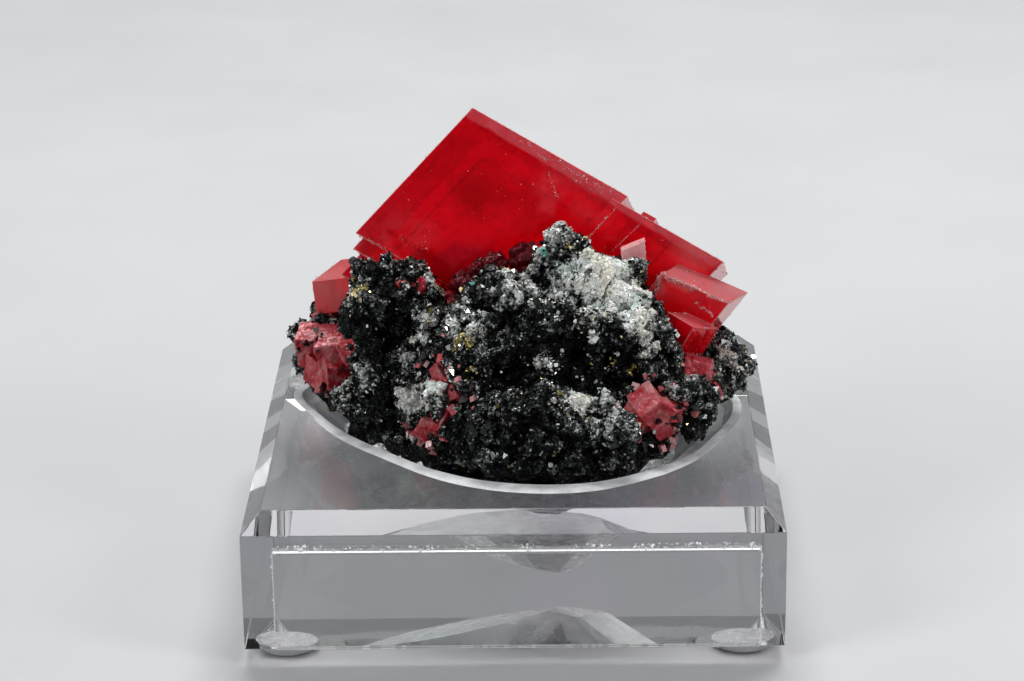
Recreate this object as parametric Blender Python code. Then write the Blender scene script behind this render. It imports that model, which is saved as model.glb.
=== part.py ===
"""Rhodochrosite on sulphide matrix, seated in the carved top of a clear acrylic stand.

The stand is a bevelled block on four round bumper feet, with a plain clear label plate on its front.
The specimen's places are measured from the centre of the stand's top face: +X right, +Y back, +Z up.
"""

import math
import random

import bmesh
import bpy
from mathutils import Euler, Matrix, Vector, noise

MM = 0.001
GAP = 0.3 * MM
MERGE_DISTANCE = 0.01 * MM

# Stand, feet and label plate
STAND_SIDE = 78 * MM
STAND_THICKNESS = 20.6 * MM
STAND_BEVEL = 2.9 * MM
FOOT_RADIUS = 4.75 * MM
FOOT_FLAT_RADIUS = 2.75 * MM
FOOT_HEIGHT = 1.8 * MM
FOOT_RIM = 0.45 * MM
FOOT_INSET = 5.9 * MM
FOOT_SIDES = 24
FOOT_SHARP_ANGLE = math.radians(35)
DOME_STEPS = 4
LABEL_WIDTH = 69.6 * MM
LABEL_HEIGHT = 15.4 * MM
LABEL_THICKNESS = 2.0 * MM
LABEL_OFFSET = 0.5 * MM
LABEL_ABOVE_UNDERSIDE = 0.8 * MM
LABEL_EDGE = 0.25 * MM

STAND_UNDERSIDE = FOOT_HEIGHT + GAP
STAND_TOP = STAND_UNDERSIDE + STAND_THICKNESS
STAND_CENTRE_Y = (LABEL_THICKNESS + GAP) / 2
SEAT_ORIGIN = Vector((0, STAND_CENTRE_Y, STAND_TOP))

# The pocket carved in the stand: its clearance round the stone, the band of stone that it wraps,
# and the slopes and turns at which its walls are cut
POCKET_CLEARANCE = 0.6 * MM
POCKET_BAND = 1.0 * MM
POCKET_SLOPES = (12, 34, 52, 72)
POCKET_TURNS = 22

# The chamfer round the pocket's mouth: its width on the stand's top, its slope, and the part of the
# stone just under the top that it runs round
MOUTH_WIDTH = 1.6 * MM
MOUTH_SLOPE = 45
MOUTH_BAND = 2.0 * MM

# The rhombohedron: the obtuse angle of its faces. A crystal's turn is in degrees, about X, Y, then Z
FACE_ANGLE = math.radians(102.9)

# The main crystal: its top corner, its turn, and its blocks as spans along its three edges
MAIN_CORNER = (-5.9, 6.4, 47.4)
MAIN_TURN = (-82.4, 46.7, -176.8)
MAIN_BLOCKS = {
    "body": ((0, 26.5), (0, 27.0), (0, 19)),
    "face_terrace": ((2.3, 23.5), (1.6, 26.0), (-0.35, 5)),
    "right_growth": ((1.6, 24), (25.7, 45.1), (-1.1, 14)),
    "right_terrace": ((2.0, 21), (37.3, 44.7), (-1.45, 8)),
    "edge_bump": ((0.8, 5), (30.4, 32.6), (0.4, 6)),
    "left_step": ((22, 28.9), (1.3, 12), (0.6, 14)),
    "left_growth": ((23, 33.4), (2.4, 13), (2.0, 13)),
    "back_terrace": ((3, 23), (2, 22), (12, 20)),
    "back_right_terrace": ((4, 20), (25, 41), (10, 14.8)),
}

# Crystals of other turns that have grown into the main one: corner, turn, edge lengths
CORNER_CRYSTAL = ((22.1, -5.0, 24.6), (-112.0, 53.0, 145.0), (10.4, 11.0, 8.8))
UNDER_CORNER_CRYSTAL = ((23.3, -7.6, 19.4), (-95.0, 58.0, 140.0), (5.6, 4.6, 6.0))
LEFT_EDGE_CRYSTAL = ((-31.4, 10.5, 18.6), (-177.5, 70.3, 81.8), (6.6, 10.0, 9.0))

# Small crystals by themselves on the matrix, in clusters: centre, turn, edge lengths
SMALL_CRYSTALS = {
    "upper_pink_crystal": (((18.2, -1.1, 24.9), (133.3, 84.1, 59.2), (6.6, 3.8, 3.2)),),
    "lower_left_crystals": (
        ((-27.6, 6.6, 9.0), (-104.6, -20.2, 83.5), (5.5, 5.0, 5.4)),
        ((-27.4, 4.6, 5.6), (-90.0, -10.0, 100.0), (4.4, 4.0, 4.4)),
        ((-30.8, 6.8, 4.8), (-80.9, -23.3, 142.9), (4.0, 4.4, 4.0)),
        ((-31.4, 9.4, 8.6), (-95.0, -25.0, 75.0), (4.4, 5.0, 4.4)),
        ((-24.0, 4.4, 9.8), (-120.0, -10.0, 70.0), (4.0, 3.6, 4.6)),
    ),
    "right_pink_crystals": (
        ((27.7, -9.7, 10.7), (68.2, 15.5, 3.5), (4.4, 4.2, 4.2)),
        ((28.8, -9.4, 9.0), (50.0, 25.0, 20.0), (3.2, 3.0, 3.6)),
    ),
    "front_right_crystals": (
        ((20.1, -17.4, 8.4), (26.8, 33.5, -59.0), (4.4, 4.2, 4.0)),
        ((22.4, -16.6, 7.2), (-103.9, 46.0, 150.2), (3.8, 3.6, 4.4)),
        ((18.4, -18.2, 7.2), (40.0, 30.0, -40.0), (3.4, 3.8, 3.6)),
        ((21.8, -17.6, 5.4), (15.0, 40.0, -70.0), (2.8, 3.0, 3.6)),
    ),
    "front_left_crystals": (
        ((-12.6, -14.0, 3.4), (-100.0, 55.0, 160.0), (3.8, 3.4, 3.8)),
        ((-10.0, -14.8, 5.8), (-120.0, 60.0, -170.0), (4.2, 4.0, 4.4)),
        ((-8.6, -14.4, 8.8), (-70.0, 40.0, 140.0), (3.6, 4.0, 4.4)),
        ((-9.8, -12.8, 11.4), (-95.0, 40.0, 120.0), (3.2, 3.6, 4.2)),
    ),
}

# The matrix: lumps as centre and radii, hollows as centre, radius and depth
LUMPS = (
    ((6.3, -10.4, 4.6), (18.2, 16.6, 9.6)),
    ((9.5, -9.0, 14.0), (13.0, 10.0, 9.0)),
    ((7.2, -3.0, 25.2), (4.6, 4.2, 5.4)),
    ((13.0, -5.0, 21.0), (7.0, 6.0, 6.0)),
    ((-1.6, -5.0, 20.0), (7.2, 5.4, 6.4)),
    ((18.4, -8.0, 16.0), (5.2, 5.8, 6.8)),
    ((23.6, -9.4, 8.4), (7.4, 6.8, 6.0)),
    ((27.0, 3.6, 6.6), (7.4, 9.6, 6.8)),
    ((6.0, 2.5, 15.0), (10.0, 7.0, 9.5)),
    ((19.0, 1.0, 11.0), (8.0, 7.0, 8.0)),
    ((-18.6, -2.6, 20.2), (6.6, 4.4, 6.2)),
    ((-23.6, -2.8, 17.4), (3.4, 3.8, 3.6)),
    ((-13.2, -4.2, 18.2), (3.8, 4.4, 5.4)),
    ((-9.3, 1.0, 13.6), (5.2, 4.8, 5.6)),
    ((-14.8, -6.2, 1.4), (7.4, 6.0, 5.4)),
    ((-21.2, -0.4, 1.6), (6.4, 6.2, 5.2)),
    ((-10.2, -11.8, 1.6), (6.0, 6.0, 5.2)),
    ((-17.0, -2.6, 9.0), (9.2, 6.6, 9.0)),
    ((-16.0, 3.0, 11.5), (8.0, 5.0, 8.0)),
    ((-25.0, 11.0, 4.0), (8.8, 8.0, 6.8)),
    ((-27.2, 14.0, 8.0), (6.2, 7.0, 6.4)),
    ((-4.2, -10.0, 5.0), (10.0, 12.0, 9.0)),
    ((-6.0, -9.4, 13.6), (6.0, 6.6, 6.4)),
    ((0.0, 13.0, 4.4), (29.0, 15.4, 9.4)),
    ((-9.0, 23.0, 12.0), (10.0, 5.6, 10.0)),
    ((-22.0, 20.0, 9.0), (8.0, 7.0, 8.0)),
    ((6.0, 22.5, 9.0), (10.0, 6.4, 8.0)),
    ((19.0, 17.0, 8.0), (11.0, 8.4, 9.0)),
    ((4.0, -3.0, -5.0), (16.0, 15.0, 8.0)),
    ((4.5, -5.0, -11.0), (7.6, 8.0, 4.8)),
)
HOLLOWS = (
    ((10.4, -19.0, 16.0), 6.0, 5.0),
    ((16.6, -16.4, 14.6), 5.0, 3.6),
    ((2.0, -17.0, 13.4), 4.0, 2.0),
    ((-5.4, -17.6, 8.8), 3.6, 1.6),
    ((13.5, -22.5, 5.6), 3.6, 1.6),
    ((-9.8, -9.0, 17.6), 3.4, 2.2),
    ((-19.4, -8.0, 13.4), 4.6, 2.2),
    ((-16.2, -7.8, 20.0), 2.6, 1.8),
    ((-23.0, -4.0, 9.0), 4.4, 2.4),
    ((26.0, -13.6, 11.2), 3.0, 1.4),
    ((-12.0, 29.0, 10.0), 5.0, 2.4),
    ((12.0, 27.0, 12.0), 4.4, 2.0),
)
MATRIX_VOXEL = 0.6 * MM
SWELL_SIZE = 7.0 * MM
SWELL_HEIGHT = 1.9 * MM
BLOCK_SIZE = 4.4 * MM
BLOCK_HEIGHT = 3.2 * MM
CREVICE_WIDTH = 0.3
CREVICE_SHARE = 0.55
BLOCK_TILT_SCALE = 3.7
BLOCK_TILT_SHIFTS = (0.0, 11.3, 27.9)
LUMP_SUBDIVISIONS = 3
MATRIX_TRIANGLES = 4500

# Small sharp crystals grown on the matrix, cut off at the corners
GRAIN_COUNT = 56
GRAIN_SIZES = (1.8 * MM, 3.6 * MM)
GRAIN_LOWEST = 2.5 * MM
GRAIN_SUNK = 0.05
GRAIN_CORNER_CUT = 0.22
STEEPEST_OVERHANG = -0.3
GRAIN_SEED = 11

BLOCK_FACES = ((0, 1, 3, 2), (4, 6, 7, 5), (0, 4, 5, 1), (2, 3, 7, 6), (0, 2, 6, 4), (1, 5, 7, 3))

COLOURS = {
    "acrylic": ((0.86, 0.88, 0.88), 0.05, 0.0),
    "rhodochrosite": ((0.70, 0.02, 0.05), 0.12, 0.0),
    "pink_rhodochrosite": ((0.72, 0.26, 0.28), 0.35, 0.0),
    "sulphide": ((0.05, 0.055, 0.055), 0.38, 0.4),
    "bumper": ((0.80, 0.82, 0.82), 0.2, 0.0),
}


def clear_scene():
    for obj in list(bpy.data.objects):
        bpy.data.objects.remove(obj, do_unlink=True)


def material(name):
    """A plain Principled material of one of COLOURS."""
    found = bpy.data.materials.get(name)
    if found:
        return found
    colour, roughness, metallic = COLOURS[name]
    made = bpy.data.materials.new(name)
    made.use_nodes = True
    shader = made.node_tree.nodes["Principled BSDF"]
    shader.inputs["Base Color"].default_value = (*colour, 1)
    shader.inputs["Roughness"].default_value = roughness
    shader.inputs["Metallic"].default_value = metallic
    return made


def object_from(name, bm, finish=None):
    """A new object that holds bm's mesh, with its faces turned outwards."""
    bmesh.ops.recalc_face_normals(bm, faces=bm.faces)
    mesh = bpy.data.meshes.new(name)
    bm.to_mesh(mesh)
    bm.free()
    obj = bpy.data.objects.new(name, mesh)
    bpy.context.scene.collection.objects.link(obj)
    if finish:
        mesh.materials.append(material(finish))
    return obj


def apply_modifiers(obj):
    """Replaces the object's mesh by the one that its modifiers make."""
    graph = bpy.context.evaluated_depsgraph_get()
    mesh = bpy.data.meshes.new_from_object(obj.evaluated_get(graph))
    obj.modifiers.clear()
    obj.data = mesh


def boolean(obj, other, operation):
    """Joins other to obj, or cuts it away, and removes other."""
    modifier = obj.modifiers.new(operation.title(), "BOOLEAN")
    modifier.operation = operation
    modifier.object = other
    modifier.solver = "EXACT"
    modifier.use_self = True
    apply_modifiers(obj)
    bpy.data.objects.remove(other, do_unlink=True)


def seat(point):
    """A point of the specimen, given in millimetres from the stand's top centre, in the part's frame."""
    return SEAT_ORIGIN + Vector(point) * MM


# Stand


def make_stand():
    """The block, with a bevel round its top edge."""
    bm = bmesh.new()
    bmesh.ops.create_cube(bm, size=1)
    bmesh.ops.scale(bm, vec=(STAND_SIDE, STAND_SIDE, STAND_THICKNESS), verts=bm.verts)
    middle = STAND_UNDERSIDE + STAND_THICKNESS / 2
    bmesh.ops.translate(bm, vec=(0, STAND_CENTRE_Y, middle), verts=bm.verts)
    top_edges = [e for e in bm.edges if all(v.co.z > middle for v in e.verts)]
    bmesh.ops.bevel(
        bm, geom=top_edges, offset=STAND_BEVEL, segments=1, affect="EDGES"
    )
    return object_from("stand", bm, "acrylic")


def make_label_plate():
    """The plain plate on the stand's front face, with eased edges."""
    bm = bmesh.new()
    bmesh.ops.create_cube(bm, size=1)
    bmesh.ops.scale(bm, vec=(LABEL_WIDTH, LABEL_THICKNESS, LABEL_HEIGHT), verts=bm.verts)
    centre = Vector(
        (
            LABEL_OFFSET,
            STAND_CENTRE_Y - STAND_SIDE / 2 - GAP - LABEL_THICKNESS / 2,
            STAND_UNDERSIDE + LABEL_ABOVE_UNDERSIDE + LABEL_HEIGHT / 2,
        )
    )
    bmesh.ops.translate(bm, vec=centre, verts=bm.verts)
    front_edges = [e for e in bm.edges if all(v.co.y < centre.y for v in e.verts)]
    bmesh.ops.bevel(
        bm, geom=front_edges, offset=LABEL_EDGE, segments=1, affect="EDGES"
    )
    return object_from("label_plate", bm, "acrylic")


def foot_profile():
    """The foot's outline as (radius, height): its flat bottom, the dome, the rim and its flat top."""
    dome_height = FOOT_HEIGHT - FOOT_RIM
    points = [(0, 0)]
    for step in range(DOME_STEPS + 1):
        turn = math.pi / 2 * step / DOME_STEPS
        radius = FOOT_FLAT_RADIUS + (FOOT_RADIUS - FOOT_FLAT_RADIUS) * math.sin(turn)
        points.append((radius, dome_height * (1 - math.cos(turn))))
    points += [(FOOT_RADIUS, FOOT_HEIGHT), (0, FOOT_HEIGHT)]
    return points


def make_foot(name, x_side, y_side):
    bm = bmesh.new()
    verts = [bm.verts.new((radius, 0, height)) for radius, height in foot_profile()]
    edges = [bm.edges.new(pair) for pair in zip(verts, verts[1:])]
    bmesh.ops.spin(
        bm,
        geom=verts + edges,
        axis=(0, 0, 1),
        cent=(0, 0, 0),
        angle=2 * math.pi,
        steps=FOOT_SIDES,
        use_merge=True,
    )
    bmesh.ops.remove_doubles(bm, verts=bm.verts, dist=MERGE_DISTANCE)
    reach = STAND_SIDE / 2 - FOOT_INSET
    place = (x_side * reach, STAND_CENTRE_Y + y_side * reach, 0)
    bmesh.ops.translate(bm, vec=place, verts=bm.verts)
    foot = object_from(name, bm, "bumper")
    foot.data.shade_smooth()
    foot.data.set_sharp_from_angle(angle=FOOT_SHARP_ANGLE)
    return foot


# Crystals


def rhomb_edges(turn):
    """The three unit edges that leave one corner of a rhombohedron with this turn."""
    obtuse = math.cos(FACE_ANGLE)
    second = Vector((obtuse, math.sin(FACE_ANGLE), 0))
    along = (-obtuse + obtuse**2) / second.y
    third = Vector((-obtuse, along, -math.sqrt(1 - obtuse**2 - along**2)))
    rotation = Euler([math.radians(angle) for angle in turn]).to_matrix()
    return [rotation @ edge for edge in (Vector((1, 0, 0)), second, third)]


def block(corner, turn, spans, growth=0):
    """A rhombohedral block between two distances along each edge, its faces moved out by growth."""
    edges = rhomb_edges(turn)
    face_area = math.sin(FACE_ANGLE)
    margin = growth / MM * face_area / abs(edges[0].cross(edges[1]).dot(edges[2]))
    sides = [(min(span) - margin, max(span) + margin) for span in spans]
    bm = bmesh.new()
    verts = []
    for a in sides[0]:
        for b in sides[1]:
            for c in sides[2]:
                offset = edges[0] * a + edges[1] * b + edges[2] * c
                verts.append(bm.verts.new(seat(Vector(corner) + offset)))
    for face in BLOCK_FACES:
        bm.faces.new([verts[i] for i in face])
    return object_from("block", bm)


def crystal_from_corner(corner, turn, lengths, growth=0):
    return block(corner, turn, [(0, length) for length in lengths], growth)


def crystal_round_centre(centre, turn, lengths, growth=0):
    return block(centre, turn, [(-length / 2, length / 2) for length in lengths], growth)


def main_crystal_blocks(growth=0):
    """The large crystal with its parallel growths, and the smaller ones that have grown into it."""
    blocks = [block(MAIN_CORNER, MAIN_TURN, spans, growth) for spans in MAIN_BLOCKS.values()]
    for grown_in in (CORNER_CRYSTAL, UNDER_CORNER_CRYSTAL, LEFT_EDGE_CRYSTAL):
        blocks.append(crystal_from_corner(*grown_in, growth))
    return blocks


def gathered(objects):
    """One object that holds all the meshes, still as separate shells."""
    bm = bmesh.new()
    for obj in objects:
        bm.from_mesh(obj.data)
        bpy.data.objects.remove(obj, do_unlink=True)
    return object_from("gathered", bm)


def joined(name, blocks, finish):
    """One object from blocks that overlap."""
    first, *rest = blocks
    for other in rest:
        boolean(first, other, "UNION")
    first.name = name
    first.data.name = name
    first.data.materials.clear()
    first.data.materials.append(material(finish))
    return first


def make_crystals():
    joined("main_crystal", main_crystal_blocks(), "rhodochrosite")
    for name, group in SMALL_CRYSTALS.items():
        joined(name, [crystal_round_centre(*one) for one in group], "pink_rhodochrosite")


# Matrix


def remesh(obj, voxel):
    modifier = obj.modifiers.new("Remesh", "REMESH")
    modifier.mode = "VOXEL"
    modifier.voxel_size = voxel
    apply_modifiers(obj)


def lump_body():
    """The lumps melted into one closed body."""
    bm = bmesh.new()
    for centre, radii in LUMPS:
        place = Matrix.Translation(seat(centre)) @ Matrix.Diagonal((*(Vector(radii) * MM), 1))
        bmesh.ops.create_icosphere(bm, subdivisions=LUMP_SUBDIVISIONS, radius=1, matrix=place)
    body = object_from("matrix", bm)
    remesh(body, MATRIX_VOXEL)
    return body


def block_tilt(centre):
    """The direction that a block's face tilts in, its own for each block."""
    place = centre * BLOCK_TILT_SCALE
    return Vector([noise.noise(place + Vector((shift, 0, 0))) for shift in BLOCK_TILT_SHIFTS])


def stand_out(point):
    """How far the stone stands out at a point: swells, and blocks with tilted faces between crevices."""
    swell = noise.fractal(point / SWELL_SIZE, 1.0, 2.0, 3) * SWELL_HEIGHT
    distances, centres = noise.voronoi(point / BLOCK_SIZE)
    tilted = (point / BLOCK_SIZE - centres[0]).dot(block_tilt(centres[0]))
    crevice = min(distances[1] - distances[0], CREVICE_WIDTH) / CREVICE_WIDTH - 1
    return swell + (tilted + CREVICE_SHARE * crevice) * BLOCK_HEIGHT


def hollowed(point):
    """How far the hollows set the stone back at a point."""
    depth = 0
    for centre, radius, deepest in HOLLOWS:
        share = (point - seat(centre)).length / (radius * MM)
        if share < 1:
            depth += deepest * MM * (1 - share**2) ** 2
    return depth


def roughen(obj):
    vertices = obj.data.vertices
    places = [v.co + v.normal * (stand_out(v.co) - hollowed(v.co)) for v in vertices]
    for vertex, place in zip(vertices, places):
        vertex.co = place


def thin_out(obj, triangles):
    obj.data.calc_loop_triangles()
    modifier = obj.modifiers.new("Decimate", "DECIMATE")
    modifier.ratio = triangles / len(obj.data.loop_triangles)
    modifier.use_collapse_triangulate = True
    apply_modifiers(obj)


def grain(place, size, turn):
    """A small cube with two opposite corners cut off."""
    bm = bmesh.new()
    bmesh.ops.create_cube(bm, size=size)
    for side in (1, -1):
        cut = bmesh.ops.bisect_plane(
            bm,
            geom=bm.verts[:] + bm.edges[:] + bm.faces[:],
            plane_co=Vector((1, 1, side)) * size * GRAIN_CORNER_CUT,
            plane_no=(1, 1, side),
            clear_outer=True,
        )
        rim = [e for e in cut["geom_cut"] if isinstance(e, bmesh.types.BMEdge)]
        bmesh.ops.contextual_create(bm, geom=rim)
    placed = Matrix.Translation(place) @ turn.to_matrix().to_4x4()
    bmesh.ops.transform(bm, matrix=placed, verts=bm.verts)
    return object_from("grain", bm)


def add_grains(body):
    """Grows the grains on faces of the stone above the pocket, picked by area."""
    draw = random.Random(GRAIN_SEED)
    lowest = STAND_TOP + GRAIN_LOWEST
    faces = [f for f in body.data.polygons if f.center.z > lowest and f.normal.z > STEEPEST_OVERHANG]
    spots = draw.choices(
        [(f.center.copy(), f.normal.copy()) for f in faces],
        weights=[f.area for f in faces],
        k=GRAIN_COUNT,
    )
    grains = []
    for centre, normal in spots:
        size = draw.uniform(*GRAIN_SIZES)
        turn = Euler([draw.uniform(0, math.tau) for _ in range(3)])
        grains.append(grain(centre - normal * size * GRAIN_SUNK, size, turn))
    boolean(body, gathered(grains), "UNION")


def keep_largest(obj):
    """Drops the loose chips that the cuts have left, and keeps the largest body."""
    bm = bmesh.new()
    bm.from_mesh(obj.data)
    unseen = set(bm.verts)
    bodies = []
    while unseen:
        found = {unseen.pop()}
        front = list(found)
        while front:
            near = {e.other_vert(v) for v in front for e in v.link_edges} - found
            found |= near
            front = list(near)
        unseen -= found
        bodies.append(found)
    bodies.sort(key=len)
    chips = [v for body in bodies[:-1] for v in body]
    bmesh.ops.delete(bm, geom=chips, context="VERTS")
    bm.to_mesh(obj.data)
    bm.free()


def make_matrix():
    body = lump_body()
    roughen(body)
    remesh(body, MATRIX_VOXEL)
    thin_out(body, MATRIX_TRIANGLES)
    add_grains(body)
    sockets = main_crystal_blocks(GAP)
    for group in SMALL_CRYSTALS.values():
        sockets += [crystal_round_centre(*one, GAP) for one in group]
    boolean(body, gathered(sockets), "DIFFERENCE")
    keep_largest(body)
    body.data.materials.clear()
    body.data.materials.append(material("sulphide"))
    return body


# Pocket


def directions(slopes):
    """The directions that a cutter's facets face: round the stone, each row tipped down by a slope."""
    for slope in slopes:
        level, down = math.cos(math.radians(slope)), math.sin(math.radians(slope))
        for step in range(POCKET_TURNS):
            turn = math.tau * (step + slope / POCKET_SLOPES[-1]) / POCKET_TURNS
            yield Vector((math.cos(turn) * level, math.sin(turn) * level, -down))


def cutter(name, planes):
    """A block, reaching a little above the stand, trimmed by planes given as (point, direction)."""
    bm = bmesh.new()
    bmesh.ops.create_cube(bm, size=STAND_SIDE)
    bmesh.ops.translate(bm, vec=(0, 0, STAND_TOP + POCKET_BAND - STAND_SIDE / 2), verts=bm.verts)
    for point, direction in planes:
        cut = bmesh.ops.bisect_plane(
            bm,
            geom=bm.verts[:] + bm.edges[:] + bm.faces[:],
            plane_co=point,
            plane_no=direction,
            clear_outer=True,
        )
        rim = [e for e in cut["geom_cut"] if isinstance(e, bmesh.types.BMEdge)]
        if rim:
            bmesh.ops.contextual_create(bm, geom=rim)
    bmesh.ops.remove_doubles(bm, verts=bm.verts, dist=2 * MERGE_DISTANCE)
    return object_from(name, bm)


def carve_pocket(stand, stone):
    """Cuts the pocket, clear of the stone's lower part on all sides, and the chamfer round its mouth."""
    buried = [v.co for v in stone.data.vertices if v.co.z < STAND_TOP + POCKET_BAND]
    walls = []
    for direction in (Vector((0, 0, -1)), *directions(POCKET_SLOPES)):
        reach = max(point.dot(direction) for point in buried) + POCKET_CLEARANCE
        walls.append((direction * reach, direction))
    boolean(stand, cutter("pocket", walls), "DIFFERENCE")

    waist = [point for point in buried if point.z > STAND_TOP - MOUTH_BAND]
    floor = Vector((0, 0, STAND_TOP - MOUTH_WIDTH * math.tan(math.radians(90 - MOUTH_SLOPE))))
    chamfers = [(floor, Vector((0, 0, -1)))]
    for direction in directions((MOUTH_SLOPE,)):
        outward = Vector((direction.x, direction.y, 0)).normalized()
        reach = max(point.dot(outward) for point in waist) + POCKET_CLEARANCE + MOUTH_WIDTH
        chamfers.append((outward * reach + Vector((0, 0, STAND_TOP)), direction))
    boolean(stand, cutter("pocket_mouth", chamfers), "DIFFERENCE")


def main():
    clear_scene()
    stand = make_stand()
    make_label_plate()
    for y_name, y_side in (("front", -1), ("back", 1)):
        for x_name, x_side in (("left", -1), ("right", 1)):
            make_foot(f"foot_{y_name}_{x_name}", x_side, y_side)
    make_crystals()
    carve_pocket(stand, make_matrix())


main()
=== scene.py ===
"""Rhodochrosite specimen on its clear acrylic stand: finishes, fine crystals, light and camera."""

import math
from contextlib import contextmanager
from typing import NamedTuple

import bmesh
import bpy
import numpy as np
from mathutils import Matrix, Vector, noise
from mathutils.bvhtree import BVHTree


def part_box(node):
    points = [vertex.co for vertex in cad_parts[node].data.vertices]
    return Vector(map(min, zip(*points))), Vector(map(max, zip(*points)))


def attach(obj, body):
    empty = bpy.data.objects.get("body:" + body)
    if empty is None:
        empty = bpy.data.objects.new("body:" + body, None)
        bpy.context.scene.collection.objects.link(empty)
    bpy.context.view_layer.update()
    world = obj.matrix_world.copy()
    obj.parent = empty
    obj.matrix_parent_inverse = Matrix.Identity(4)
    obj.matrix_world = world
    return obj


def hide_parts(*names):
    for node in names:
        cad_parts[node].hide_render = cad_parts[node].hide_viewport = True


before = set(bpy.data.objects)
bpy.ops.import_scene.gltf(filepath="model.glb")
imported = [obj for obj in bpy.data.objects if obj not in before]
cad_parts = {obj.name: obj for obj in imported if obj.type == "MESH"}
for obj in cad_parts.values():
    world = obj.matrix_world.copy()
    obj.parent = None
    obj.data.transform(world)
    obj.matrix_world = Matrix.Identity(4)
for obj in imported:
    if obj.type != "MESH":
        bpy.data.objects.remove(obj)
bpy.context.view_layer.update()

MM = 0.001
STAND_LOW, STAND_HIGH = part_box("stand")
LABEL_LOW, LABEL_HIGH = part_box("label_plate")
STAND_TOP = STAND_HIGH.z
SEAT = Vector(((STAND_LOW.x + STAND_HIGH.x) / 2, (STAND_LOW.y + STAND_HIGH.y) / 2, STAND_TOP))
CRYSTAL_NODES = (
    "main_crystal",
    "upper_pink_crystal",
    "lower_left_crystals",
    "right_pink_crystals",
    "front_right_crystals",
    "front_left_crystals",
)
MERGE_WITHIN = 0.002 * MM
FLAT_ACRYLIC, FLAT_CRYSTAL = 0.5, 0.8  # degrees between faces that count as one


def seat(x, y, z):
    """A place on the specimen, in millimetres from the centre of the stand's top."""
    return SEAT + Vector((x, y, z)) * MM


# ---------------------------------------------------------------- working on a piece


def make_active(obj):
    bpy.ops.object.select_all(action="DESELECT")
    obj.select_set(True)
    bpy.context.view_layer.objects.active = obj


@contextmanager
def editing(obj, kind="VERT"):
    """Edit mode on one object, with nothing selected."""
    make_active(obj)
    bpy.ops.object.mode_set(mode="EDIT")
    bpy.ops.mesh.select_mode(type=kind)
    bpy.ops.mesh.select_all(action="DESELECT")
    yield
    bpy.ops.object.mode_set(mode="OBJECT")


def pick(obj, test, kind="faces"):
    """Selects the faces or edges of the object in edit mode that pass the test."""
    bm = bmesh.from_edit_mesh(obj.data)
    bm.normal_update()
    for item in getattr(bm, kind):
        item.select_set(bool(test(item)))
    bm.select_flush_mode()
    bmesh.update_edit_mesh(obj.data)


def give_slot(obj, slot, test):
    """Gives a material slot to the faces that pass the test."""
    with editing(obj, "FACE"):
        pick(obj, test)
        obj.active_material_index = slot
        bpy.ops.object.material_slot_assign()


def add_piece(name, mesh):
    piece = bpy.data.objects.new(name, mesh)
    bpy.context.scene.collection.objects.link(piece)
    return piece


def apply_modifier(obj, kind, **settings):
    make_active(obj)
    modifier = obj.modifiers.new(kind.title(), kind)
    for name, value in settings.items():
        setattr(modifier, name, value)
    bpy.ops.object.modifier_apply(modifier=modifier.name)


def keep(piece, slot, *nodes):
    """Puts the piece in the object, in place of these CAD nodes."""
    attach(piece, "root")
    if nodes:
        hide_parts(*nodes)
    return piece


def copy_of(node, name, flat_angle=0.0):
    """A copy of a CAD node's mesh, merged, with its flat faces made whole."""
    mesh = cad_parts[node].data.copy()
    mesh.name = name
    mesh.materials.clear()
    piece = add_piece(name, mesh)
    with editing(piece):
        bpy.ops.mesh.select_all(action="SELECT")
        bpy.ops.mesh.remove_doubles(threshold=MERGE_WITHIN)
        if flat_angle:
            bpy.ops.mesh.dissolve_limited(angle_limit=math.radians(flat_angle))
    make_active(piece)
    bpy.ops.mesh.customdata_custom_splitnormals_clear()
    bpy.ops.object.shade_flat()
    return piece


def settle(piece):
    """Moves the piece's place into its mesh."""
    make_active(piece)
    bpy.ops.object.transform_apply(location=True, rotation=True, scale=True)
    return piece


# ---------------------------------------------------------------- finishes


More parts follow.
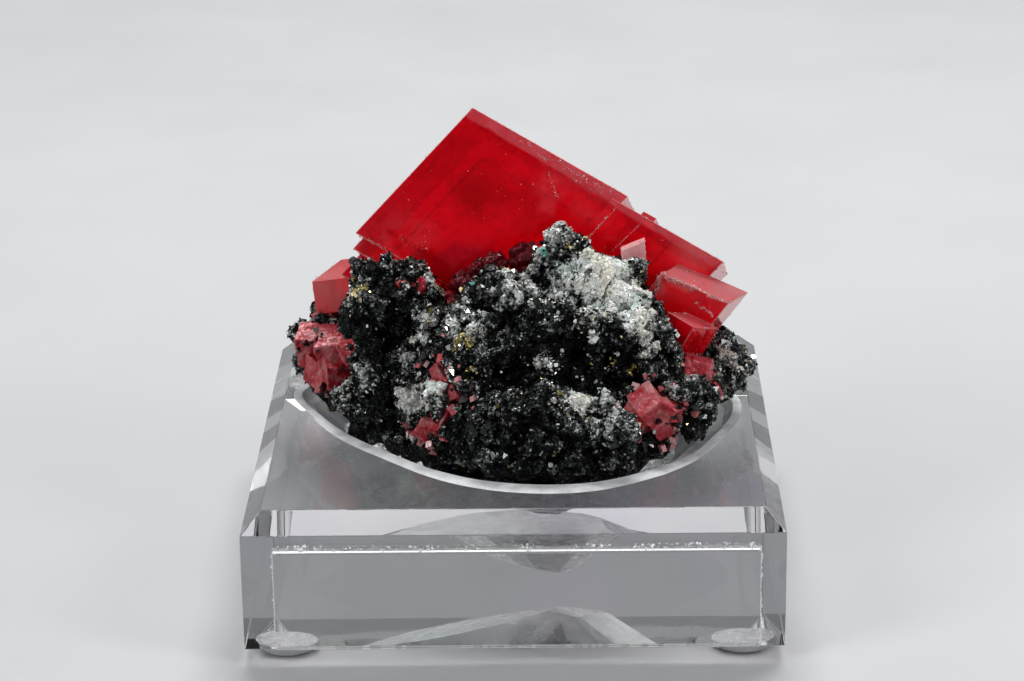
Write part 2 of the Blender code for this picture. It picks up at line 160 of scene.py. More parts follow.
class Finish:
    """A Principled material, and short ways to add the nodes that vary it over Object space."""

    def __init__(self, name, **sockets):
        self.material = bpy.data.materials.new(name)
        self.material.use_nodes = True
        self.nodes = self.material.node_tree.nodes
        self.links = self.material.node_tree.links
        self.shader = self.nodes["Principled BSDF"]
        self.place = self.nodes.new("ShaderNodeTexCoord").outputs["Object"]
        for socket, value in sockets.items():
            self.set(socket, value)

    def set(self, socket, value):
        """Sets a shader socket to a number or a colour, or links it."""
        target = self.shader.inputs[socket.replace("_", " ").title().replace("Ior", "IOR")]
        if isinstance(value, bpy.types.NodeSocket):
            self.links.new(value, target)
        else:
            target.default_value = (*value, 1) if isinstance(value, tuple) else value

    def node(self, kind, result=0, settings=None, **inputs):
        """Adds a node. An input goes by its name, or as i0, i1 and so on by its number."""
        made = self.nodes.new("ShaderNode" + kind)
        for name, value in (settings or {}).items():
            setattr(made, name, value)
        for name, value in inputs.items():
            numbered = name[0] == "i" and name[1:].isdigit()
            socket = made.inputs[int(name[1:]) if numbered else name.title()]
            if isinstance(value, bpy.types.NodeSocket):
                self.links.new(value, socket)
            else:
                socket.default_value = value
        return made.outputs[result]

    def turned(self, turn, stretch=(1, 1, 1)):
        """Object space turned by Euler angles in degrees, and stretched."""
        angles = [math.radians(angle) for angle in turn]
        return self.node("Mapping", vector=self.place, rotation=angles, scale=stretch)

    def noise(self, size_mm, detail=3.0, roughness=0.55, distortion=0.0, place=None):
        return self.node(
            "TexNoise",
            vector=place or self.place,
            scale=1 / (size_mm * MM),
            detail=detail,
            roughness=roughness,
            distortion=distortion,
        )

    def cells(self, size_mm, feature="F1", distance="EUCLIDEAN", place=None, result="Distance"):
        return self.node(
            "TexVoronoi",
            result,
            {"feature": feature, "distance": distance},
            vector=place or self.place,
            scale=1 / (size_mm * MM),
        )

    def attribute(self, name):
        return self.node("Attribute", "Fac", {"attribute_name": name})

    def zone(self, centre, radius_mm, ragged):
        """1 at the centre, falling to 0 at the radius, with a ragged border."""
        away = self.node("VectorMath", "Value", {"operation": "DISTANCE"}, i0=self.place, i1=centre)
        away = self.math("MULTIPLY_ADD", away, 1 / (radius_mm * MM), ragged)
        return self.span(away, 1.0, 0.0, 0.35, 1.35)

    def ramp(self, factor, *stops):
        """A colour ramp through (position, colour) stops."""
        made = self.nodes.new("ShaderNodeValToRGB")
        self.links.new(factor, made.inputs["Fac"])
        elements = made.color_ramp.elements
        while len(elements) < len(stops):
            elements.new(1.0)
        for element, (position, colour) in zip(elements, stops):
            element.position = position
            element.color = (*colour, 1)
        return made.outputs["Color"]

    def colour(self, factor, *stops):
        self.set("base_color", self.ramp(factor, *stops))

    def roughen(self, factor, smooth, rough, start=0.3, end=0.7):
        self.set("roughness", self.span(factor, smooth, rough, start, end))

    def span(self, factor, low, high, start=0.0, end=1.0):
        """The factor's stretch from start to end, taken to low to high."""
        inputs = {"value": factor, "i1": start, "i2": end, "i3": low, "i4": high}
        return self.node("MapRange", **inputs)

    def math(self, operation, a, b=0.0, c=0.0):
        return self.node("Math", 0, {"operation": operation}, i0=a, i1=b, i2=c)

    def mix(self, factor, a, b, blend="MIX"):
        made = self.nodes.new("ShaderNodeMix")
        made.data_type = "RGBA"
        made.blend_type = blend
        for socket, value in ((made.inputs[0], factor), (made.inputs[6], a), (made.inputs[7], b)):
            if isinstance(value, bpy.types.NodeSocket):
                self.links.new(value, socket)
            else:
                socket.default_value = (*value, 1) if isinstance(value, tuple) else value
        return made.outputs[2]

    def bump(self, height, depth_mm, strength=1.0, below=None):
        made = self.nodes.new("ShaderNodeBump")
        made.inputs["Strength"].default_value = strength
        made.inputs["Distance"].default_value = depth_mm * MM
        self.links.new(height, made.inputs["Height"])
        if below:
            self.links.new(below, made.inputs["Normal"])
        self.links.new(made.outputs["Normal"], self.shader.inputs["Normal"])
        return made.outputs["Normal"]

    def absorb(self, colour, density):
        """Light is taken up on its way through the solid."""
        volume = self.nodes.new("ShaderNodeVolumeAbsorption")
        volume.inputs["Color"].default_value = (*colour, 1)
        volume.inputs["Density"].default_value = density
        self.links.new(volume.outputs["Volume"], self.nodes["Material Output"].inputs["Volume"])


def polished_acrylic():
    finish = Finish("polished_acrylic", transmission_weight=1.0, ior=1.49)
    tint = finish.noise(26, detail=1.0)
    finish.colour(tint, (0.36, (0.95, 1.0, 0.97)), (0.5, (1, 1, 1)), (0.64, (0.96, 0.93, 1.0)))
    scuffs = finish.noise(0.8, detail=6.0, roughness=0.7, place=finish.turned((0, 0, 24), (1, 0.08, 1)))
    finish.roughen(scuffs, 0.004, 0.05, 0.5, 0.85)
    finish.bump(finish.noise(9, detail=1.0), 0.01, 0.25)
    return finish.material


def carved_acrylic():
    """The pocket's milled wall, left satin."""
    finish = Finish("carved_acrylic", transmission_weight=0.8, ior=1.49)
    cloud = finish.noise(2.2, detail=4.0)
    finish.colour(cloud, (0.3, (0.74, 0.76, 0.77)), (0.7, (0.97, 0.98, 0.98)))
    finish.roughen(cloud, 0.12, 0.42)
    cuts = finish.noise(0.5, detail=3.0, place=finish.turned((0, 0, 0), (1, 1, 2.5)))
    finish.bump(cuts, 0.08, 0.6)
    return finish.material


def frosted_acrylic():
    """The white rim round the pocket's mouth."""
    finish = Finish("frosted_acrylic", transmission_weight=0.2, ior=1.49)
    cloud = finish.noise(2.6, detail=5.0)
    finish.colour(cloud, (0.3, (0.52, 0.54, 0.55)), (0.65, (0.88, 0.89, 0.90)))
    finish.roughen(cloud, 0.35, 0.7)
    finish.bump(finish.noise(0.5, detail=3.0), 0.05, 0.5)
    return finish.material


def sawn_acrylic_edge():
    """The label plate's edges: satin, with fine cross cuts."""
    finish = Finish("sawn_acrylic_edge", transmission_weight=0.85, ior=1.49)
    lines = finish.noise(0.35, detail=3.0, place=finish.turned((0, 0, 0), (1, 0.2, 0.2)))
    finish.colour(lines, (0.3, (0.84, 0.86, 0.87)), (0.7, (1.0, 1.0, 1.0)))
    finish.roughen(lines, 0.25, 0.6)
    finish.bump(lines, 0.05, 0.6)
    return finish.material


def polished_acrylic_label():
    finish = Finish("label_acrylic", transmission_weight=1.0, ior=1.49)
    tint = finish.noise(14, detail=2.0)
    finish.colour(tint, (0.36, (0.95, 0.97, 0.96)), (0.64, (1, 1, 1)))
    scuffs = finish.noise(0.6, detail=6.0, roughness=0.7)
    finish.roughen(scuffs, 0.01, 0.10, 0.48, 0.8)
    finish.bump(finish.noise(5, detail=1.0), 0.01, 0.3)
    return finish.material


def bumper_plastic():
    finish = Finish("clear_bumper_plastic", transmission_weight=0.5, ior=1.5)
    haze = finish.noise(1.6, detail=3.0)
    finish.colour(haze, (0.3, (0.90, 0.92, 0.92)), (0.7, (1.0, 1.0, 1.0)))
    finish.roughen(haze, 0.06, 0.2)
    finish.bump(finish.noise(0.6), 0.03, 0.4)
    return finish.material


def glue_plastic():
    finish = Finish("milky_glue", transmission_weight=0.35, ior=1.45)
    haze = finish.noise(1.8, detail=2.0)
    finish.colour(haze, (0.3, (0.88, 0.90, 0.90)), (0.7, (1.0, 1.0, 1.0)))
    finish.roughen(haze, 0.15, 0.4)
    return finish.material


MAIN_TURN = (-82.4, 46.7, -176.8)  # Object space to the main crystal's own axes, in degrees

# Zones in the main crystal: centre in mm from the seat, radius in mm, strength
DUSK_ZONES = (
    ((-5.7, 4.8, 33.8), 3.6, 1.0),
    ((2.6, 4.4, 32.6), 4.6, 0.55),
    ((-4.0, 4.6, 38.4), 6.0, 0.35),
    ((18.5, 3.0, 26.0), 5.0, 0.4),
)
HAZE_ZONES = (
    ((5.9, 4.6, 35.6), 2.6, 0.6),
    ((5.2, 4.3, 32.2), 1.6, 0.5),
    ((-18.2, 5.2, 27.0), 4.6, 0.55),
    ((-13.4, 4.8, 28.0), 2.4, 0.4),
    ((11.5, 4.6, 37.6), 3.0, 0.5),
    ((12.0, 3.6, 32.4), 3.4, 0.35),
    ((26.5, 2.0, 24.6), 5.0, 0.4),
    ((29.0, -5.0, 21.6), 4.4, 0.6),
    ((-30.6, 11.0, 16.6), 5.2, 0.95),
    ((-26.4, 10.0, 13.4), 4.0, 0.8),
    ((-24.0, 6.0, 25.4), 3.0, 0.8),
    ((22.0, -4.0, 20.0), 4.0, 0.5),
    ((4.0, 16.0, 44.0), 7.0, 0.7),
    ((14.0, 22.0, 30.0), 8.0, 0.6),
    ((-8.0, 26.0, 30.0), 9.0, 0.6),
    ((-14.0, 20.0, 38.0), 6.0, 0.5),
    ((26.0, 12.0, 26.0), 6.0, 0.6),
)
MILK_ZONES = (
    ((-31.0, 10.6, 17.6), 5.6, 0.62),
    ((-26.8, 9.6, 13.6), 4.4, 0.5),
    ((27.6, 1.0, 25.8), 3.4, 0.35),
    ((20.9, -4.1, 21.9), 1.9, 1.0),
    ((24.2, -5.3, 23.9), 1.3, 0.9),
    ((26.0, -5.6, 23.2), 1.4, 0.9),
    ((34.2, 0.0, 20.2), 3.0, 0.6),
)

# The paler skin lies under one face: a corner of that face in mm from the seat, its normal, and the
# skin's depth in mm
SKIN_CORNER = (-5.7, 6.4, 47.2)
SKIN_OUTWARD = (0.521, 0.0, 0.854)
SKIN_DEPTH = 1.7


def growth_streaks(finish):
    """The deep red body, with darker streaks along its growth."""
    depth = finish.noise(9, detail=3.0, place=finish.turned(MAIN_TURN, (1, 1, 2.2)))
    body = finish.ramp(
        depth, (0.3, (0.80, 0.0012, 0.009)), (0.5, (0.96, 0.002, 0.016)), (0.7, (0.99, 0.008, 0.028))
    )
    streaks = finish.noise(1.1, detail=4.0, roughness=0.6, place=finish.turned(MAIN_TURN, (1, 0.07, 1)))
    streaks = finish.math("MULTIPLY", finish.span(streaks, 0.0, 1.0, 0.42, 0.7), 0.5)
    return finish.mix(streaks, body, (0.52, 0.002, 0.010))


def pale_skin(finish, cloud, ragged):
    """1 in the skin under the upper right face, thinned by the cloud, and 0 deeper in."""
    inward = finish.node(
        "VectorMath", "Vector", {"operation": "SUBTRACT"}, i0=seat(*SKIN_CORNER), i1=finish.place
    )
    depth = finish.node("VectorMath", "Value", {"operation": "DOT_PRODUCT"}, i0=inward, i1=SKIN_OUTWARD)
    border = finish.math("MULTIPLY", ragged, 0.5)
    depth = finish.math("MULTIPLY_ADD", depth, 1 / (SKIN_DEPTH * MM), border)
    return finish.math("MULTIPLY", finish.span(depth, 1.0, 0.0, 0.8, 1.05), cloud)


def add_zones(finish, body, zones, colour, ragged, cloud=None):
    """Mixes a colour into the body in these zones, thinned by the cloud."""
    for centre, radius, strength in zones:
        share = finish.math("MULTIPLY", finish.zone(seat(*centre), radius, ragged), strength)
        if cloud:
            share = finish.math("MULTIPLY", share, cloud)
        body = finish.mix(share, body, colour)
    return body


def red_crystal():
    """Clear deep red rhodochrosite: dusky, hazy and milky zones, a paler skin, worn edges with painted
    highlights.
    """
    finish = Finish("red_rhodochrosite", transmission_weight=0.62, ior=1.6)
    finish.set("specular_tint", (1.0, 0.07, 0.11))
    worn_and_edge_light = finish.attribute("worn_and_edge_light")
    matte = finish.attribute("matte")
    curl = finish.noise(4.0, detail=5.0, roughness=0.62, distortion=0.8)
    ragged = finish.math("MULTIPLY_ADD", curl, 1.6, -0.8)
    wisps = finish.span(curl, 0.15, 1.0, 0.42, 0.62)
    body = growth_streaks(finish)
    body = add_zones(finish, body, DUSK_ZONES, (0.40, 0.0008, 0.004), ragged)
    body = add_zones(finish, body, HAZE_ZONES, (0.96, 0.13, 0.17), ragged, wisps)
    skin = pale_skin(finish, finish.span(curl, 0.5, 0.95, 0.4, 0.65), ragged)
    body = finish.mix(skin, body, (1.0, 0.20, 0.25))
    milk = finish.span(curl, 0.45, 1.0, 0.4, 0.6)
    body = add_zones(finish, body, MILK_ZONES, (0.86, 0.42, 0.40), ragged, milk)
    # Edges painted pale: wear, and painted edge highlights
    finish.set("base_color", finish.mix(worn_and_edge_light, body, (0.97, 0.38, 0.40)))
    grain = finish.noise(0.7, detail=4.0)
    polish = finish.span(grain, 0.02, 0.10, 0.42, 0.75)
    dull = finish.math("MAXIMUM", finish.span(worn_and_edge_light, 0.0, 0.42), finish.math("MULTIPLY", matte, 0.6))
    finish.set("roughness", finish.math("MAXIMUM", polish, dull))
    steps = finish.cells(3.4, "SMOOTH_F1", "CHEBYCHEV", finish.turned(MAIN_TURN, (1, 1, 0.4)))
    ledges = finish.bump(finish.math("SNAP", steps, 0.16), 0.02, 0.35)
    finish.bump(finish.noise(1.3, detail=5.0, roughness=0.65), 0.03, 0.35, ledges)
    finish.absorb((0.97, 0.06, 0.14), 95.0)
    return finish.material


def pink_crystal():
    """Milky pink to red crystal of the small clusters."""
    finish = Finish("pink_rhodochrosite", transmission_weight=0.4, ior=1.6)
    finish.set("specular_tint", (1.0, 0.6, 0.62))
    worn_and_edge_light = finish.attribute("worn_and_edge_light")
    milk = finish.noise(3.0, detail=5.0, roughness=0.62, distortion=0.6)
    body = finish.ramp(
        milk, (0.34, (0.44, 0.006, 0.016)), (0.46, (0.60, 0.035, 0.055)), (0.56, (0.64, 0.14, 0.155)),
        (0.70, (0.78, 0.40, 0.37)),
    )
    # Edges painted pale: wear, and painted edge highlights
    finish.set("base_color", finish.mix(worn_and_edge_light, body, (0.88, 0.56, 0.54)))
    finish.roughen(finish.noise(0.6, detail=4.0), 0.10, 0.45, 0.35)
    finish.bump(finish.noise(0.9, detail=5.0, roughness=0.65), 0.12, 0.7)
    finish.absorb((0.95, 0.35, 0.45), 100.0)
    return finish.material


def pale_pink_crystal():
    """The pale cleavage piece in front of the main crystal."""
    finish = Finish("pale_pink_rhodochrosite", transmission_weight=0.25, ior=1.6)
    milk = finish.noise(2.0, detail=4.0)
    worn_and_edge_light = finish.attribute("worn_and_edge_light")
    body = finish.ramp(milk, (0.3, (0.82, 0.30, 0.32)), (0.7, (0.92, 0.50, 0.50)))
    # Edges painted pale: wear, and painted edge highlights
    finish.set("base_color", finish.mix(worn_and_edge_light, body, (0.96, 0.72, 0.70)))
    finish.roughen(milk, 0.2, 0.45)
    finish.bump(finish.noise(0.7, detail=4.0), 0.05, 0.5)
    finish.absorb((0.97, 0.6, 0.62), 60.0)
    return finish.material


def crystal_chips():
    """Splinters and small rhombs of rhodochrosite, from red to nearly white."""
    finish = Finish("rhodochrosite_chips", transmission_weight=0.3, ior=1.6)
    finish.colour(
        finish.attribute("shade"), (0.0, (0.60, 0.03, 0.05)), (0.35, (0.76, 0.20, 0.22)),
        (0.7, (0.86, 0.48, 0.46)), (1.0, (0.94, 0.80, 0.77)),
    )
    finish.roughen(finish.noise(0.4, detail=3.0), 0.12, 0.45)
    finish.bump(finish.noise(0.25, detail=3.0), 0.03, 0.4)
    return finish.material


def dark_red_glass(name, deep, light, clearness):
    """Rounded crystals with blunt facets, from blackish red to clear red."""
    finish = Finish(name, transmission_weight=clearness, ior=1.6)
    finish.set("specular_tint", (1.0, 0.5, 0.52))
    depth = finish.noise(1.6, detail=3.0)
    finish.colour(depth, (0.3, deep), (0.7, light))
    finish.roughen(depth, 0.06, 0.3)
    finish.bump(finish.noise(0.8, detail=4.0), 0.1, 0.6)
    return finish.material


def black_rock():
    """Fine-grained black sulphide, crusted grey and white where the druse grows; painted light on its
    ridges, painted shade in its crevices and shade patches.
    """
    finish = Finish("black_sulphide")
    patch = finish.noise(2.2, detail=4.0, roughness=0.65)
    glitter = finish.node("SeparateColor", "Red", i0=finish.cells(0.3, result="Color"))
    glitter = finish.math("MULTIPLY_ADD", patch, 0.6, finish.math("MULTIPLY", glitter, 0.5))
    # Painted light and shade: the ridge mark lightens the ridges and darkens the crevices
    glitter = finish.math("MULTIPLY_ADD", finish.attribute("ridge"), 0.22, glitter)
    # The crust mark holds the white and grey crust, and the painted shade of the shade patches below
    # zero
    glitter = finish.math("MULTIPLY_ADD", finish.attribute("crust_and_shade"), 0.25, glitter)
    body = finish.ramp(
        glitter, (0.48, (0.004, 0.0045, 0.0045)), (0.72, (0.022, 0.024, 0.024)),
        (0.84, (0.13, 0.14, 0.135)), (0.98, (0.55, 0.57, 0.56)),
    )
    speckle = finish.noise(0.55, detail=5.0, roughness=0.7)
    # Crust, less painted shade in the shade patches
    crust_and_shade = finish.math("MULTIPLY_ADD", finish.attribute("crust_and_shade"), 0.95, speckle)
    # Painted light: the crust is whiter on the ridges
    crust_and_shade = finish.math("MULTIPLY_ADD", finish.attribute("ridge"), 0.25, crust_and_shade)
    crust_and_shade = finish.span(crust_and_shade, 0.0, 1.0, 0.76, 1.08)
    pale = finish.ramp(speckle, (0.35, (0.42, 0.44, 0.41)), (0.6, (0.90, 0.92, 0.88)))
    finish.set("base_color", finish.mix(crust_and_shade, body, pale))
    finish.set("metallic", finish.span(crust_and_shade, 0.9, 0.0))
    finish.roughen(finish.cells(0.5), 0.16, 0.55, 0.0)
    base = finish.bump(finish.cells(0.3), 0.22, 1.0)
    finish.bump(finish.cells(0.8), 0.3, 0.8, base)
    return finish.material


def sulphide_grains():
    """Sharp metallic grains, each with its own shade."""
    finish = Finish("metallic_sulphide_grains", metallic=1.0)
    finish.colour(
        finish.attribute("shade"), (0.0, (0.016, 0.018, 0.018)), (0.5, (0.06, 0.064, 0.063)),
        (0.8, (0.24, 0.255, 0.25)), (1.0, (0.80, 0.83, 0.82)),
    )
    finish.roughen(finish.noise(0.7, detail=3.0), 0.10, 0.38)
    finish.bump(finish.noise(0.22, detail=3.0), 0.03, 0.4)
    return finish.material


def quartz_druse():
    """White to clear quartz grains, with cream and greenish drifts."""
    finish = Finish("quartz_druse", transmission_weight=0.2, ior=1.55)
    shade = finish.ramp(
        finish.attribute("shade"), (0.0, (0.34, 0.35, 0.34)), (0.4, (0.78, 0.80, 0.78)),
        (0.8, (0.98, 0.99, 0.98)), (1.0, (1.0, 1.0, 1.0)),
    )
    drift = finish.ramp(
        finish.noise(5.0, detail=2.0), (0.4, (0.97, 0.94, 0.84)), (0.52, (1.0, 1.0, 1.0)),
        (0.66, (0.84, 0.95, 0.88)),
    )
    finish.set("base_color", finish.mix(1.0, shade, drift, "MULTIPLY"))
    finish.roughen(finish.noise(0.5, detail=3.0), 0.06, 0.4)
    finish.bump(finish.noise(0.25, detail=3.0), 0.03, 0.4)
    return finish.material


def brass_sulphide():
    finish = Finish("brassy_sulphide", metallic=1.0)
    finish.colour(
        finish.attribute("shade"), (0.0, (0.22, 0.18, 0.06)), (0.5, (0.50, 0.41, 0.16)),
        (1.0, (0.92, 0.84, 0.56)),
    )
    finish.roughen(finish.noise(0.4, detail=3.0), 0.12, 0.42)
    finish.bump(finish.noise(0.3, detail=3.0), 0.03, 0.4)
    return finish.material


def turquoise_crust():
    finish = Finish("turquoise_crust")
    finish.colour(finish.attribute("shade"), (0.0, (0.06, 0.30, 0.24)), (1.0, (0.22, 0.62, 0.50)))
    powder = finish.noise(0.4, detail=4.0)
    finish.roughen(powder, 0.45, 0.85)
    finish.bump(powder, 0.05, 0.5)
    return finish.material


def floor_paper():
    finish = Finish("pale_paper")
    mottle = finish.noise(60, detail=4.0)
    finish.colour(mottle, (0.3, (0.46, 0.465, 0.47)), (0.7, (0.49, 0.493, 0.495)))
    finish.roughen(mottle, 0.7, 0.85)
    finish.bump(finish.noise(0.8, detail=4.0), 0.02, 0.3)
    return finish.material


# ---------------------------------------------------------------- stand


POLISHED, CARVED, FROSTED = range(3)
BLOCK_MARGIN = 1 * MM
MOUTH_MARGIN = 0.02 * MM
BEVEL_REACH = 3 * MM
COLLAR_DEPTH = 5.0 * MM
ARRIS = 0.12 * MM
LIP_WIDTH = 1.3 * MM
LIP_WIDENED = (1.1 * MM, 1.0 * MM)
RIM_STEP = 1.6 * MM
RIM_CUTS = 5
RIM_ROUNDS = 18
SHARP = math.radians(20)


def in_pocket(place):
    """Whether a place on the stand's surface lies on the pocket's wall or its chamfered mouth."""
    return (
        STAND_LOW.x + BLOCK_MARGIN < place.x < STAND_HIGH.x - BLOCK_MARGIN
        and STAND_LOW.y + BLOCK_MARGIN < place.y < STAND_HIGH.y - BLOCK_MARGIN
        and STAND_LOW.z + BLOCK_MARGIN < place.z < STAND_TOP - MOUTH_MARGIN
    )


def is_bevel(face):
    """Whether a face is one of the four long bevels round the stand's top."""
    away = face.calc_center_median() - SEAT
    nearest = (STAND_HIGH.x - STAND_LOW.x) / 2 - BEVEL_REACH
    return 0.5 < face.normal.z < 0.9 and max(abs(away.x), abs(away.y)) > nearest


def on_rim(edge):
    """Whether an edge parts the carved pocket from the polished block."""
    slots = {face.material_index for face in edge.link_faces}
    return POLISHED in slots and len(slots) == 2


def square_seams(stand):
    """Ties each corner of the stand's top to the place on the rim that is closest to it."""
    body = bmesh.new()
    body.from_mesh(stand.data)

    def on_top(edge):
        faces = edge.link_faces
        return len(faces) == 2 and all(
            face.normal.z > 0.99 and face.material_index == POLISHED for face in faces
        )

    rim = {vertex for edge in body.edges if on_rim(edge) for vertex in edge.verts}
    for seam in [edge for edge in body.edges if on_top(edge)]:
        corner = next(vertex for vertex in seam.verts if vertex not in rim)
        closest = min(rim, key=lambda vertex: (vertex.co - corner.co).length)
        if closest not in seam.verts:
            bmesh.ops.connect_vert_pair(body, verts=[corner, closest])
            bmesh.ops.dissolve_edges(body, edges=[seam], use_verts=False)
    body.to_mesh(stand.data)
    body.free()


def ease_rim(stand):
    """Draws the pocket's rim as a smooth curve; it stays on the stand's top."""
    for _ in range(RIM_CUTS):
        with editing(stand, "EDGE"):
            pick(stand, lambda edge: on_rim(edge) and edge.calc_length() > RIM_STEP, "edges")
            bpy.ops.mesh.subdivide(number_cuts=1)
    body = bmesh.new()
    body.from_mesh(stand.data)
    rim = [edge for edge in body.edges if on_rim(edge)]
    edge, round_rim = rim[0], [rim[0].verts[0]]
    while True:
        vertex = edge.other_vert(round_rim[-1])
        if vertex is round_rim[0]:
            break
        round_rim.append(vertex)
        edge = next(other for other in vertex.link_edges if other is not edge and on_rim(other))
    places = np.array([vertex.co for vertex in round_rim])
    for _ in range(RIM_ROUNDS):
        places = places / 2 + (np.roll(places, 1, axis=0) + np.roll(places, -1, axis=0)) / 4
    for vertex, place in zip(round_rim, places):
        vertex.co = place
    body.to_mesh(stand.data)
    body.free()


def cut_lip(stand):
    """Frosts a band on both sides of the rim, and widens it where the rim runs across the front."""
    with editing(stand, "EDGE"):
        pick(stand, on_rim, "edges")
        bpy.ops.mesh.bevel(offset=LIP_WIDTH, segments=2, profile=1.0, affect="EDGES", material=FROSTED)
    for width in LIP_WIDENED:
        body = bmesh.new()
        body.from_mesh(stand.data)
        shares = []
        for edge in body.edges:
            along = (edge.verts[1].co - edge.verts[0].co).normalized()
            shares.append(along.x**2 if on_rim(edge) and edge.verts[0].co.y < SEAT.y else 0.0)
        body.free()
        set_values(stand, "bevel_weight_edge", shares, "EDGE")
        apply_modifier(
            stand, "BEVEL", width=width, segments=2, profile=1.0, limit_method="WEIGHT",
            material=FROSTED, use_clamp_overlap=False,
        )
        stand.data.attributes.remove(stand.data.attributes["bevel_weight_edge"])


def make_stand():
    """The block: satin pocket with a frosted collar and lip, eased outer edges."""
    stand = copy_of("stand", "acrylic_stand", FLAT_ACRYLIC)
    for finish in (polished_acrylic(), carved_acrylic(), frosted_acrylic()):
        stand.data.materials.append(finish)

    def pocket_face(face):
        return in_pocket(face.calc_center_median()) and not is_bevel(face)

    def collar_face(face):
        return pocket_face(face) and face.calc_center_median().z > STAND_TOP - COLLAR_DEPTH

    def outer_edge(edge):
        polished = all(face.material_index == POLISHED for face in edge.link_faces)
        return polished and edge.calc_face_angle(0) > SHARP

    with editing(stand, "FACE"):
        pick(stand, pocket_face)
        bpy.ops.mesh.bisect(plane_co=(0, 0, STAND_TOP - COLLAR_DEPTH), plane_no=(0, 0, 1))
    give_slot(stand, CARVED, pocket_face)
    give_slot(stand, FROSTED, collar_face)
    square_seams(stand)
    ease_rim(stand)
    cut_lip(stand)
    with editing(stand, "EDGE"):
        pick(stand, outer_edge, "edges")
        bpy.ops.mesh.bevel(offset=ARRIS, segments=2, affect="EDGES")
    return keep(stand, "acrylic", "stand")


LABEL_ARRIS = 0.17 * MM
GLUE_ON_TOP, GLUE_ON_SIDES = 620, 300
GLUE_SWELL = 3.5 * MM
ADHESIVE_BITE = 0.08 * MM
ADHESIVE_SHARE = 0.97
ROUND_SIDES = 72


def make_label(glue):
    """The bare label plate: clear faces, satin edges, glue in its arrises."""
    label = copy_of("label_plate", "acrylic_label", FLAT_ACRYLIC)
    for finish in (polished_acrylic_label(), sawn_acrylic_edge(), glue):
        label.data.materials.append(finish)
    with editing(label, "EDGE"):
        pick(label, lambda edge: edge.calc_face_angle(0) > SHARP, "edges")
        bpy.ops.mesh.bevel(offset=LABEL_ARRIS, segments=1, affect="EDGES")
    give_slot(label, 2, lambda face: abs(face.normal.y) < 0.9)
    give_slot(label, 1, lambda face: abs(face.normal.y) < 0.2)
    return keep(label, "acrylic", "label_plate")


def make_glue(glue):
    """Glue squeezed out along the top and the sides of the label plate: a bead of tiny bubbles."""
    draw = np.random.default_rng(12)
    depth = STAND_LOW.y - LABEL_LOW.y
    count = GLUE_ON_TOP + GLUE_ON_SIDES
    sizes = log_sizes(draw, count, -2.5, 0.6, 0.34)
    places = np.empty((count, 3))
    top, sides = slice(0, GLUE_ON_TOP), slice(GLUE_ON_TOP, None)
    places[top, 0] = draw.uniform(LABEL_LOW.x, LABEL_HIGH.x, GLUE_ON_TOP)
    swell = np.array([noise.noise(Vector((x / GLUE_SWELL, 0, 0))) for x in places[top, 0]])
    sizes[top] *= np.clip(0.9 + 1.6 * swell, 0.35, 2.0)
    places[top, 2] = LABEL_HIGH.z + sizes[top] * 0.5
    places[sides, 0] = np.where(np.arange(GLUE_ON_SIDES) % 2, LABEL_HIGH.x, LABEL_LOW.x)
    places[sides, 2] = draw.uniform(LABEL_LOW.z + 1 * MM, LABEL_HIGH.z, GLUE_ON_SIDES)
    places[:, 1] = STAND_LOW.y - sizes - draw.random(count) * np.maximum(depth - 2.2 * sizes, 0)
    crystal_cloud(
        "glue_bead", draw, places, sizes, turns(draw, count), ("lump",), draw.random(count),
        glue, "acrylic", 0.9,
    )


def make_feet(bumper, glue):
    """Domed clear bumpers in the places and sizes of the CAD feet."""
    for place in ("front_left", "front_right", "back_left", "back_right"):
        node = "foot_" + place
        low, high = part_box(node)
        centre, radius = (low + high) / 2, (high.x - low.x) / 2
        bpy.ops.object.select_all(action="DESELECT")
        bpy.ops.mesh.primitive_cylinder_add(
            vertices=ROUND_SIDES, radius=radius, depth=high.z - low.z, location=centre
        )
        foot = bpy.context.object
        foot.name = "bumper_" + place
        settle(foot)
        with editing(foot, "EDGE"):
            pick(foot, lambda edge: all(end.co.z < centre.z for end in edge.verts), "edges")
            bpy.ops.mesh.bevel(offset=1.3 * MM, segments=7, affect="EDGES")
        with editing(foot, "EDGE"):
            pick(foot, lambda edge: all(end.co.z > high.z - MERGE_WITHIN for end in edge.verts), "edges")
            bpy.ops.mesh.bevel(offset=ARRIS, segments=2, affect="EDGES")
        make_active(foot)
        bpy.ops.object.shade_smooth_by_angle(angle=math.radians(40))
        foot.data.materials.append(bumper)
        keep(foot, "bumper", node)
        make_adhesive(place, centre, radius * ADHESIVE_SHARE, high.z, glue)


def make_adhesive(place, centre, radius, foot_top, glue):
    """The glue between a bumper and the block: a thin milky disc, pressed into both."""
    low, high = foot_top - ADHESIVE_BITE, STAND_LOW.z + ADHESIVE_BITE
    bpy.ops.object.select_all(action="DESELECT")
    bpy.ops.mesh.primitive_cylinder_add(
        vertices=ROUND_SIDES, radius=radius, depth=high - low,
        location=(centre.x, centre.y, (low + high) / 2),
    )
    disc = bpy.context.object
    disc.name = "adhesive_" + place
    settle(disc)
    with editing(disc, "EDGE"):
        pick(disc, lambda edge: abs(edge.verts[0].co.z - edge.verts[1].co.z) < MERGE_WITHIN, "edges")
        bpy.ops.mesh.bevel(offset=ADHESIVE_BITE * 0.8, segments=2, affect="EDGES")
    disc.data.materials.append(glue)
    keep(disc, "bumper")


# ---------------------------------------------------------------- crystals


BRUISE_WIDTH, PALE_BRUISE_WIDTH = 0.11 * MM, 0.12 * MM
BRUISED_ANGLE = math.radians(18)
THIN_STEP = 0.9 * MM
TOPS_BELOW = 26.0  # mm above the seat: lower tops are hazy
HAZY_LEFT = -24.0  # mm from the seat: what lies further left is hazy


def step_width(face):
    """How wide a long narrow face is."""
    return face.calc_area() / max(edge.calc_length() for edge in face.edges)


